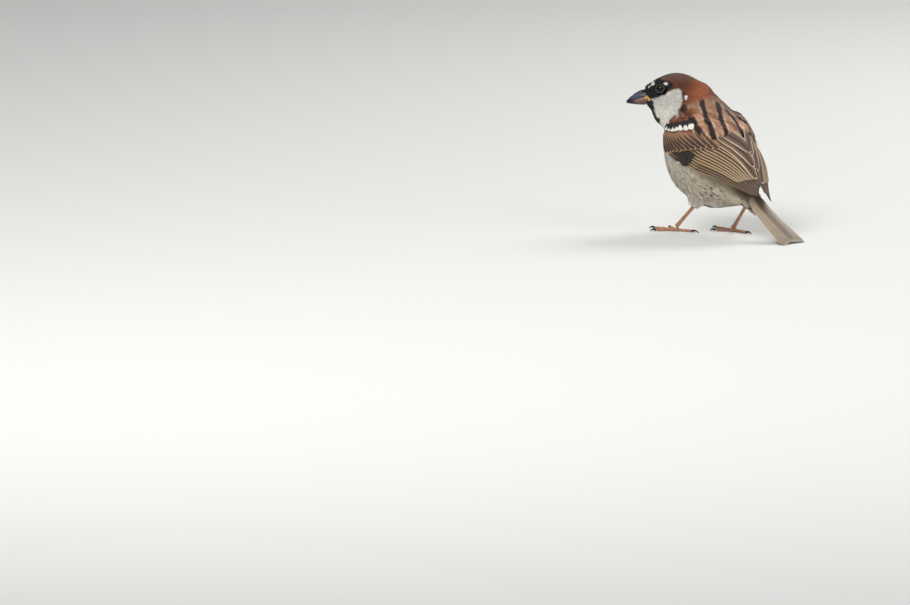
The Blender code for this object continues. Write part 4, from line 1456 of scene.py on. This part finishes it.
def on_tail(distance, aside, height):
    """A place on the tail: along it, to the right, and over its middle sheet."""
    wide = np.interp(distance, TAIL_STATIONS[:, 0], TAIL_STATIONS[:, 1])
    height = height - TAIL_CAMBER * (aside / wide) ** 2
    distance, aside, height = np.broadcast_arrays(distance, aside, height)
    along = TAIL_ROOT + TAIL_WAY * distance[..., None]
    return along + np.array((0.0, 1.0, 0.0)) * aside[..., None] + TAIL_UP * height[..., None]


def tail_quills():
    """The twelve quills of the tail, as one piece."""
    rng = np.random.default_rng(60)
    quills = QuillSet("quills_tail", 4)
    s, w = FIELD_ALONG, FIELD_ACROSS
    for k in reversed(range(6)):
        for side in (-1.0, 1.0):
            end = TAIL_END - TAIL_NOTCH * (1.0 - (k / 5.0) ** 2) + rng.normal(0.0, 0.2)
            distance = -2.0 + (end + 2.0) * s
            centre = side * ((0.5 + 0.5 * k) + (0.15 + 0.90 * k) * s)
            outer = np.where(w > 0.0, OUTER_WIDTH, INNER_WIDTH)
            aside = centre + side * TAIL_HALF * vane_half(s, 0.86) * w * outer
            level = np.interp(distance, TAIL_STATIONS[:, 0], TAIL_STATIONS[:, 2])
            ridge = 0.06 * shaft_line(w)
            height = level * 0.55 - 0.02 - 0.10 * k - 0.04 * (side > 0) + ridge + 0.25 * (1.0 - s)
            height = height + 0.9 * soft_step(12.0, 3.0, distance)  # the roots rise to the rump
            upper = on_tail(distance, aside, height)
            lower = on_tail(distance, aside, height - VANE_THICK)
            edge = np.maximum(soft_step(0.72, 0.86, w), 0.5 * soft_step(-0.85, -0.95, w))
            edge = np.maximum(edge, soft_step(0.97, 0.99, s))
            tone = mixed(TAIL_BROWN, QUILL_GREY, 0.15 * soft_step(0.5, 0.0, np.abs(w)))
            colour = mixed(mixed(tone, TAIL_EDGE, 0.8 * edge), QUILL_DARK, 0.8 * shaft_line(w))
            colour = colour * (1.0 + 0.05 * np.sin(s * 120.0 - np.abs(w) * 9.0))[..., None]
            if side > 0:
                upper, lower = upper[:, ::-1], lower[:, ::-1]
                colour = colour[:, ::-1]
            quills.add(upper, lower, colour)
    return quills.build("wing_feathers", "tail")


tail_piece = tail_quills()

# %% [markdown]
# Bill, legs and claws are bare horn and scales. Their solids already have the right form but are
# faceted, so each group is run together again, much finer than the skin, and drawn back in by what
# it was swollen. The bill gets its colours by place: steel grey above, horn brown and flesh
# below, a dark tip, and the yellow corner of the mouth.

# %% A fine surface over faceted solids
def fine_piece(name, names, swell, voxel, smoothing, shape):
    """One fine piece; shape gives the paint and how far each point moves out."""
    points, normals, triangles = run_together(names, swell, voxel, smoothing)
    points = points - normals * swell
    colour, out = shape(points, normals)
    points = points + normals * out[:, None]
    points[:, 2] = np.maximum(points[:, 2], 0.0)  # nothing sinks into the floor
    obj = new_object(name, points, triangles, np.clip(colour, 0.0, 1.0))
    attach(obj, "root")
    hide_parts(*names)
    return obj


bare = [name for name in nodes if name.startswith(("bill", "tarsus", "foot", "toe", "claw"))]
print("solids of bill, legs and claws:", len(bare))

# %% [markdown]
# The line of the mouth falls from its corner to the tip. Above it the upper half is steel grey, with
# a dark ridge and a dark cutting edge. Below it the lower half is flesh brown towards the throat.

# %% Bill
BILL_STEEL = paint(70, 74, 88)
BILL_FLESH = paint(150, 116, 104)
BILL_DARK = paint(32, 29, 34)
BILL_CLOSING = 0.13  # closes the slit that the solids keep between the two halves
MOUTH_LINE = ((-28, -25.6, -22.6, -19.6, -17), (-6.0, -5.1, -4.0, -3.0, -2.4))  # along, and height


def shape_bill_upper(points, normals):
    """Paint of the upper half, and its closing, grain and nostril."""
    place = to_head(points)
    x, side, z = place[:, 0], np.abs(place[:, 1]), place[:, 2]
    colour = mixed(BILL_STEEL, BILL_DARK, soft_step(-23.5, -28.5, x))
    ridge = soft_step(1.4, 0.4, side) * soft_step(-1.0, 1.0, normals[:, 2] * 2.0)
    colour = mixed(colour, BILL_DARK, 0.55 * ridge)
    low = np.interp(x, *MOUTH_LINE)
    cutting = soft_step(0.9, 0.2, z - low)
    colour = mixed(colour, BILL_DARK, 0.8 * cutting)
    gape = soft_step(-17.5, -16.9, x) * soft_step(1.0, 0.5, z - low)
    colour = mixed(colour, GAPE_YELLOW, gape)
    # the nostril is pressed in a little and painted black, as painted shade in its hollow
    nostril = spot(x, z, -18.9, -0.5, 0.6, 0.3, 0.3)
    colour = mixed(colour, BLACK, nostril)
    colour = mixed(colour, BLACK, soft_step(-19.3, -18.5, x) * soft_step(-0.9, 0.3, z))
    grain = 0.03 * ripple(points * (1.0, 1.0, 3.0), 1.2, 70)
    return colour * (1.0 + 0.08 * ripple(points, 1.0, 71))[:, None], BILL_CLOSING + grain - 0.15 * nostril


def shape_bill_lower(points, normals):
    """Paint of the lower half, and its closing and grain."""
    place = to_head(points)
    x, z = place[:, 0], place[:, 2]
    colour = mixed(BILL_FLESH, BILL_DARK, soft_step(-21.0, -25.5, x))
    low = soft_step(0.0, -0.8, normals[:, 2])
    colour = mixed(colour, BILL_DARK, 0.7 * low)
    top = np.interp(x, *MOUTH_LINE)
    gape = soft_step(-17.6, -17.0, x) * soft_step(-1.4, -0.9, z - top)
    colour = mixed(colour, GAPE_YELLOW, gape)
    grain = 0.03 * ripple(points * (1.0, 1.0, 3.0), 1.2, 72)
    return colour * (1.0 + 0.10 * ripple(points, 1.2, 73))[:, None], BILL_CLOSING + grain


bill = [
    fine_piece("bill_upper_horn", ["bill_upper"], 0.1, 0.16, 5, shape_bill_upper),
    fine_piece("bill_lower_horn", ["bill_lower"], 0.1, 0.16, 5, shape_bill_lower),
]

# %% [markdown]
# A songbird's leg is cased in horny plates, large ones down the front and rings on the toes. The
# plates are raised by a saw-tooth wave that runs along each bone and toe, full on top and fading
# to small pads below. Every point takes its wave from the solid nearest to it.

# %% Scales of the legs
LEG_PINK = paint(158, 108, 84)
LEG_PALE = paint(188, 142, 114)
LEG_SEAM = paint(112, 70, 58)
TOES = ("middle", "inner", "outer", "hind")
TARSUS_REACH, TOE_REACH = 9.0, 6.0  # half lengths of the bone and the toes
TARSUS_PLATE, TOE_PLATE = 2.1, 1.05  # lengths of their plates


def solid_axis(name):
    """Middle and long direction of a solid, from its corners."""
    corners = to_bird([v.co for v in nodes[name].data.vertices])
    middle = corners.mean(axis=0)
    way = np.linalg.svd(corners - middle, full_matrices=False)[2][0]
    return middle, way


def shape_leg(label):
    """The rule that shapes and paints one leg."""
    bones = [(*solid_axis(f"tarsus_{label}"), TARSUS_REACH, TARSUS_PLATE)]
    bones += [(*solid_axis(f"toe_{label}_{toe}"), TOE_REACH, TOE_PLATE) for toe in TOES]

    def shape(points, normals):
        gaps, waves, fronts = [], [], []
        for number, (middle, way, half, pitch) in enumerate(bones):
            run = (points - middle) @ way
            reach = np.clip(run, -half, half)
            gaps.append(np.linalg.norm(points - middle - reach[:, None] * way, axis=1))
            waves.append((run / pitch) % 1.0)
            fronts.append(normals[:, 2] if number else -normals[:, 0] * 0.9 + 0.3)
        nearest = np.argmin(gaps, axis=0)
        pick = np.arange(len(points))
        wave, front = np.array(waves)[nearest, pick], np.array(fronts)[nearest, pick]
        plate = soft_step(-0.2, 0.4, front)
        seam = soft_step(0.13, 0.0, np.minimum(wave, 1.0 - wave)) * plate
        bumps = ripple(points, 0.7, 80) * (1.0 - plate)
        out = 0.07 * plate * wave - 0.07 * seam + 0.04 * bumps
        colour = mixed(LEG_PINK, LEG_PALE, 0.5 + 0.5 * ripple(points, 3.0, 81))
        colour = mixed(colour, LEG_SEAM, 0.8 * seam)
        colour = mixed(colour, LEG_PALE, 0.5 * (1.0 - plate))
        return colour, out

    return shape


print("the left tarsus runs along", solid_axis("tarsus_left")[1].round(2))

# %% [markdown]
# Each leg with its toes is one piece, so that the joints between the solids close. Each claw is a
# piece of its own, dark at the tip.

# %% Legs and claws
CLAW_HORN = paint(74, 60, 54)


def shape_claw(points, normals):
    """Paint of a claw, which keeps its shape."""
    tip = soft_step(3.2, 0.8, points[:, 2])
    return mixed(CLAW_HORN, BLACK, tip), np.zeros(len(points))


legs, claws = [], []
for label in SIDES:
    scales = [f"tarsus_{label}", f"foot_{label}", *(f"toe_{label}_{toe}" for toe in TOES)]
    legs.append(fine_piece(f"leg_{label}", scales, 0.22, 0.19, 3, shape_leg(label)))
    horn = [f"claw_{label}_{toe}" for toe in TOES]
    print("claw solids of the", label, "foot:", len(horn))
    for name in horn:
        claws.append(fine_piece(f"{name}_horn", [name], 0.06, 0.11, 8, shape_claw))

# %% [markdown]
# The eye is almost black: a large pupil in a dark brown iris under a clear, wet front. It sits in
# a ring of bare grey skin, the edge of the two lids, which is beaded with tiny scales. Without the
# ring a model's eye looks like a bead stuck on.

# %% The eyes
EYE_RADIUS = 3.5
EYE_RINGS, EYE_AROUND = 30, 48  # points from the middle of the eye backwards, and round it
IRIS = paint(24, 14, 10)


def ring_grid(rows, columns, closed_rows):
    """Quads of a surface with closed rings, whose first and last ring may be joined as well."""
    grid = np.arange(rows * columns).reshape(rows, columns)
    after = np.roll(grid, -1, axis=1)
    below = np.roll(grid, -1, axis=0)
    below_after = np.roll(after, -1, axis=0)
    if not closed_rows:
        grid, after, below, below_after = (part[:-1] for part in (grid, after, below, below_after))
    return np.stack((grid, after, below_after, below), axis=-1).reshape(-1, 4)


def make_eye(label):
    """A ball with a slightly bulging front, open at the back, where the head hides it."""
    centre, axes = to_head(EYES[label]), eye_axes(label)
    angle = np.linspace(0.004, math.pi * 0.72, EYE_RINGS)[:, None]
    turn = np.linspace(0.0, 2.0 * math.pi, EYE_AROUND, endpoint=False)[None, :]
    bulge = EYE_RADIUS * (1.0 + 0.035 * np.exp(-((angle / 0.45) ** 2)))
    wide = bulge * np.sin(angle)
    deep = bulge * np.cos(angle + 0.0 * turn)
    place = np.stack((wide * np.cos(turn), deep, wide * np.sin(turn)), axis=-1)
    points = from_head(centre + place.reshape(-1, 3) @ axes)
    colour = mixed(BLACK * 0.5, IRIS, soft_step(0.40, 0.48, angle) * soft_step(0.80, 0.66, angle))
    colour = np.broadcast_to(colour, (*place.shape[:2], 3)).reshape(-1, 3)
    faces = ring_grid(EYE_RINGS, EYE_AROUND, False)
    faces = faces if label == "right" else faces[:, ::-1]
    obj = new_object(f"eye_{label}_ball", points, faces, colour)
    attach(obj, "root")
    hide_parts(f"eye_{label}")
    return obj


eyes = [make_eye(label) for label in SIDES]
print("eyes:", [obj.name for obj in eyes])

# %% [markdown]
# The ring of the lids is a thin tube with a row of beads along its outer edge, drawn out to a small
# point in front, where the two lids meet.

# %% The lids
LID_RADIUS, LID_THICK = 2.62, 0.33
LID_AROUND, LID_TUBE = 144, 14  # points round the ring, and round its tube
LID_BEADS = 40.0
LID_GREY = paint(80, 74, 68)


def make_lid(label):
    """The beaded ring round one eye."""
    centre, axes = to_head(EYES[label]), eye_axes(label)
    turn = np.linspace(0.0, 2.0 * math.pi, LID_AROUND, endpoint=False)[:, None]
    angle = np.linspace(0.0, 2.0 * math.pi, LID_TUBE, endpoint=False)[None, :]
    beads = 1.0 + 0.07 * np.sin(LID_BEADS * turn) * soft_step(-0.6, 0.6, np.cos(angle))
    thick = LID_THICK * beads
    ring = LID_RADIUS * (1.0 + 0.02 * np.cos(2.0 * turn)) + thick * np.cos(angle)
    out = math.sqrt(EYE_RADIUS**2 - LID_RADIUS**2) + 0.05 + 0.9 * thick * np.sin(angle)
    corner = 0.28 * np.exp(-(((turn - math.pi) / 0.35) ** 2))
    place = np.stack(((ring + corner) * np.cos(turn), out, ring * 0.97 * np.sin(turn)), axis=-1)
    bright = soft_step(-0.8, 0.8, np.sin(LID_BEADS * turn) + 0.0 * angle)
    colour = mixed(LID_GREY * 0.6, LID_GREY * 1.15, bright)
    faces = ring_grid(LID_AROUND, LID_TUBE, True)
    faces = faces if label == "left" else faces[:, ::-1]
    points = from_head(centre + place.reshape(-1, 3) @ axes)
    obj = new_object(f"lid_{label}", points, faces, colour.reshape(-1, 3))
    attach(obj, "root")
    return obj


lids = [make_lid(label) for label in SIDES]
print("lids:", [obj.name for obj in lids])

# %% [markdown]
# The finishes come from a few small materials. Plumage is matt with a slight sheen, because
# barbs scatter light. Its colour is the paint kept on the vertices, broken up by fine noise.

# %% Finish of the plumage
GRAIN_RANGE = (0.3, 0.7)  # the part of the noise that is spread over the whole change in colour
BUMP_DEPTH = 0.0001  # in metres


def node_material(name):
    """A new material with its nodes and its shader."""
    material = bpy.data.materials.new(name)
    material.use_nodes = True
    tree = material.node_tree
    return material, tree, tree.nodes["Principled BSDF"]


def read_paint(tree):
    """The paint kept on the vertices."""
    colour = tree.nodes.new("ShaderNodeAttribute")
    colour.attribute_name = "paint"
    return colour.outputs["Color"]


def grained_paint(tree, shader, grain, low, high):
    """Colours the shader with the paint, made darker and lighter by fine noise. Gives the noise."""
    place = tree.nodes.new("ShaderNodeTexCoord")
    noise = tree.nodes.new("ShaderNodeTexNoise")
    noise.inputs["Scale"].default_value = grain
    noise.inputs["Detail"].default_value = 4.0
    tree.links.new(place.outputs["Object"], noise.inputs["Vector"])
    level = tree.nodes.new("ShaderNodeMapRange")
    for name, value in zip(("From Min", "From Max", "To Min", "To Max"), (*GRAIN_RANGE, low, high)):
        level.inputs[name].default_value = value
    tree.links.new(noise.outputs["Fac"], level.inputs["Value"])
    product = tree.nodes.new("ShaderNodeVectorMath")
    product.operation = "MULTIPLY"
    tree.links.new(read_paint(tree), product.inputs[0])
    tree.links.new(level.outputs["Result"], product.inputs[1])
    tree.links.new(product.outputs["Vector"], shader.inputs["Base Color"])
    return noise.outputs["Fac"]


def add_bump(tree, shader, height, strength):
    """Raises the surface by a height that is made in the material."""
    bump = tree.nodes.new("ShaderNodeBump")
    bump.inputs["Strength"].default_value = strength
    bump.inputs["Distance"].default_value = BUMP_DEPTH
    tree.links.new(height, bump.inputs["Height"])
    tree.links.new(bump.outputs["Normal"], shader.inputs["Normal"])


def plumage_material(name, roughness, sheen, grain):
    """Painted, with fine grain; the sheen is for barbs."""
    material, tree, shader = node_material(name)
    add_bump(tree, shader, grained_paint(tree, shader, grain, 0.86, 1.12), 0.25)
    shader.inputs["Roughness"].default_value = roughness
    shader.inputs["Sheen Weight"].default_value = sheen
    shader.inputs["Sheen Roughness"].default_value = 0.5
    shader.inputs["Specular IOR Level"].default_value = 0.25
    return material


soft_plumage = plumage_material("soft_plumage", 0.85, 0.12, 2500.0)
for obj in (skin, *coat):
    obj.data.materials.append(soft_plumage)
print("plumage material with", len(soft_plumage.node_tree.nodes), "nodes")

# %% [markdown]
# Quills are sleeker than body feathers. Their barbs lie side by side at a slant to the shaft, so
# the bump runs in fine slanting lines, read from the map of each vane.

# %% Finish of the quills
BARBS_ALONG, BARBS_ACROSS = 130.0, 34.0  # how fast the wave of the barbs runs along and across a vane


def math_node(tree, operation, *values):
    """A step of arithmetic in the material, on numbers and on what other nodes give."""
    node = tree.nodes.new("ShaderNodeMath")
    node.operation = operation
    for socket, value in zip(node.inputs, values):
        if isinstance(value, float):
            socket.default_value = value
        else:
            tree.links.new(value, socket)
    return node.outputs["Value"]


def quill_material():
    """Painted and grained, with fine slanting lines."""
    material, tree, shader = node_material("quills")
    vane = tree.nodes.new("ShaderNodeUVMap")
    vane.uv_map = "vane"
    parts = tree.nodes.new("ShaderNodeSeparateXYZ")
    tree.links.new(vane.outputs["UV"], parts.inputs["Vector"])
    aside = math_node(tree, "ABSOLUTE", parts.outputs["X"])
    slant = math_node(tree, "MULTIPLY", aside, -BARBS_ACROSS)
    run = math_node(tree, "MULTIPLY_ADD", parts.outputs["Y"], BARBS_ALONG, slant)
    grained_paint(tree, shader, 1400.0, 0.85, 1.15)
    add_bump(tree, shader, math_node(tree, "SINE", run), 0.35)
    shader.inputs["Roughness"].default_value = 0.62
    shader.inputs["Specular IOR Level"].default_value = 0.35
    return material


quill_finish = quill_material()
for obj in (*wing_pieces, tail_piece):
    obj.data.materials.append(quill_finish)
print("quill material with", len(quill_finish.node_tree.nodes), "nodes")

# %% [markdown]
# Horn is smooth with a soft gloss, and the scales of the legs are a little waxy. The eye is the
# only wet thing on the bird, and a thin clear coat gives it its small bright light.

# %% Finishes of horn, scales and eyes
horn_finish = plumage_material("horn", 0.34, 0.0, 900.0)
scale_finish = plumage_material("leg_scales_wax", 0.48, 0.0, 1200.0)
lid_finish = plumage_material("lid_skin", 0.55, 0.0, 3000.0)
eye_finish, eye_tree, eye_shader = node_material("wet_eye")
eye_tree.links.new(read_paint(eye_tree), eye_shader.inputs["Base Color"])
eye_shader.inputs["Roughness"].default_value = 0.12
eye_shader.inputs["Specular IOR Level"].default_value = 0.1
eye_shader.inputs["Coat Weight"].default_value = 0.18
eye_shader.inputs["Coat Roughness"].default_value = 0.02
FINISHES = ((horn_finish, (*bill, *claws)), (scale_finish, legs), (lid_finish, lids), (eye_finish, eyes))
for finish, pieces in FINISHES:
    for obj in pieces:
        obj.data.materials.append(finish)
    print(finish.name, "on", len(pieces), "pieces")

# %% [markdown]
# The camera looks from the bird's rear left and a little from above, through a long lens, so that
# near and far parts keep their true sizes. The bird stands small, in the upper right of the view.

# %% The camera
VIEW_TURN = math.radians(45.0)
VIEW_RISE = math.radians(9.0)
FRAME_WIDE, FRAME_HIGH = 546.0, 363.0  # what the view takes in at the bird, in millimetres
BIRD_RIGHT, BIRD_DOWN = 423.0, 138.6  # where the bird's origin lies in it, from its upper left
VIEW_LENS, SENSOR = 400.0, 36.0

view_right = np.array((math.cos(VIEW_TURN), math.sin(VIEW_TURN), 0.0))
view_level = np.array((math.sin(VIEW_TURN), -math.cos(VIEW_TURN), 0.0))  # towards the camera, level
view_back = view_level * math.cos(VIEW_RISE) + np.array((0.0, 0.0, math.sin(VIEW_RISE)))
view_up = np.cross(view_back, view_right)
target = ORIGIN + view_right * (FRAME_WIDE / 2.0 - BIRD_RIGHT) * MM
target = target + view_up * (BIRD_DOWN - FRAME_HIGH / 2.0) * MM
distance = FRAME_WIDE * MM * VIEW_LENS / SENSOR
camera_data = bpy.data.cameras.new("camera")
camera_data.lens = VIEW_LENS
camera_data.sensor_width = SENSOR
camera_data.clip_end = 50.0
camera = bpy.data.objects.new("camera", camera_data)
bpy.context.scene.collection.objects.link(camera)
place = np.eye(4)
place[:3, :3] = np.column_stack((view_right, view_up, view_back))
place[:3, 3] = target + view_back * distance
camera.matrix_world = Matrix(place.tolist())
bpy.context.scene.camera = camera
bpy.context.scene.view_settings.view_transform = "Standard"  # keeps the paints as they were mixed
print("camera height:", round(camera.matrix_world.translation.z, 3), "m")

# %% [markdown]
# The bird stands on a plain pale floor, one sheet that runs out to a wall in a wide curve, so that
# no line shows where one becomes the other. A view from behind the wall shows only the wall.

# %% The floor
FLOOR_NEAR, CURVE_START, CURVE_RADIUS, WALL_TOP = -8.0, 1.6, 1.0, 5.0  # metres behind the bird, and up
FLOOR_HALF = 9.0


def add_floor():
    """A floor that curves up far behind the bird, seen from the camera."""
    bm = bmesh.new()
    profile = [(FLOOR_NEAR, 0.0), (CURVE_START, 0.0)]
    for turn in np.radians(range(6, 91, 6)):
        run, rise = CURVE_RADIUS * math.sin(turn), CURVE_RADIUS * math.cos(turn)
        profile.append((CURVE_START + run, CURVE_RADIUS - rise))
    profile.append((CURVE_START + CURVE_RADIUS, WALL_TOP))
    rows = []
    for run, rise in profile:
        middle = (0.0, 0.0, rise) - view_level * run
        ends = (middle + view_right * aside for aside in (-FLOOR_HALF, FLOOR_HALF))
        rows.append([bm.verts.new(Vector(end)) for end in ends])
    for a, b in zip(rows, rows[1:]):
        bm.faces.new((a[0], a[1], b[1], b[0]))
    mesh = bpy.data.meshes.new("floor")
    bm.normal_update()
    bm.to_mesh(mesh)
    bm.free()
    mesh.shade_smooth()
    obj = bpy.data.objects.new("floor", mesh)
    bpy.context.scene.collection.objects.link(obj)
    return obj


floor = add_floor()
floor_paint, _, floor_shader = node_material("floor_paint")
floor_shader.inputs["Base Color"].default_value = (*paint(226, 226, 222), 1.0)
floor_shader.inputs["Roughness"].default_value = 0.7
floor.data.materials.append(floor_paint)
print("rows of the floor:", len(floor.data.vertices) // 2)

# %% [markdown]
# Each light is a large square, as soft as a window, and looks straight at the bird: a broad key from
# the left, a fill from the right, and one from behind that draws the outline of the back. The world
# adds a little cool light from all sides.

# %% The lights
LIGHTS = {
    # name: turn from the camera to the right and rise in degrees, distance, size, power
    "key_light": (-35.0, 50.0, 1.4, 0.8, 13.0),
    "fill_light": (55.0, 30.0, 1.6, 1.0, 4.5),
    "back_light": (140.0, 45.0, 1.4, 0.6, 9.0),
}
WORLD_COLOUR, WORLD_STRENGTH = (0.95, 0.97, 1.0, 1.0), 0.36


def add_light(name, turn, rise, reach, size, power):
    """A square soft light that looks at the bird."""
    data = bpy.data.lights.new(name, "AREA")
    data.size = size
    data.energy = power
    obj = bpy.data.objects.new(name, data)
    bpy.context.scene.collection.objects.link(obj)
    a, b = math.radians(turn), math.radians(rise)
    toward = view_right * math.sin(a) + view_level * math.cos(a)
    place = np.array((toward[0] * math.cos(b), toward[1] * math.cos(b), math.sin(b))) * reach
    obj.location = place
    obj.rotation_euler = Vector(place).to_track_quat("Z", "Y").to_euler()
    print(name, "at", [round(c, 2) for c in place])


for name, values in LIGHTS.items():
    add_light(name, *values)
world = bpy.data.worlds.new("studio")
bpy.context.scene.world = world
world.use_nodes = True
background = world.node_tree.nodes["Background"]
background.inputs["Color"].default_value = WORLD_COLOUR
background.inputs["Strength"].default_value = WORLD_STRENGTH
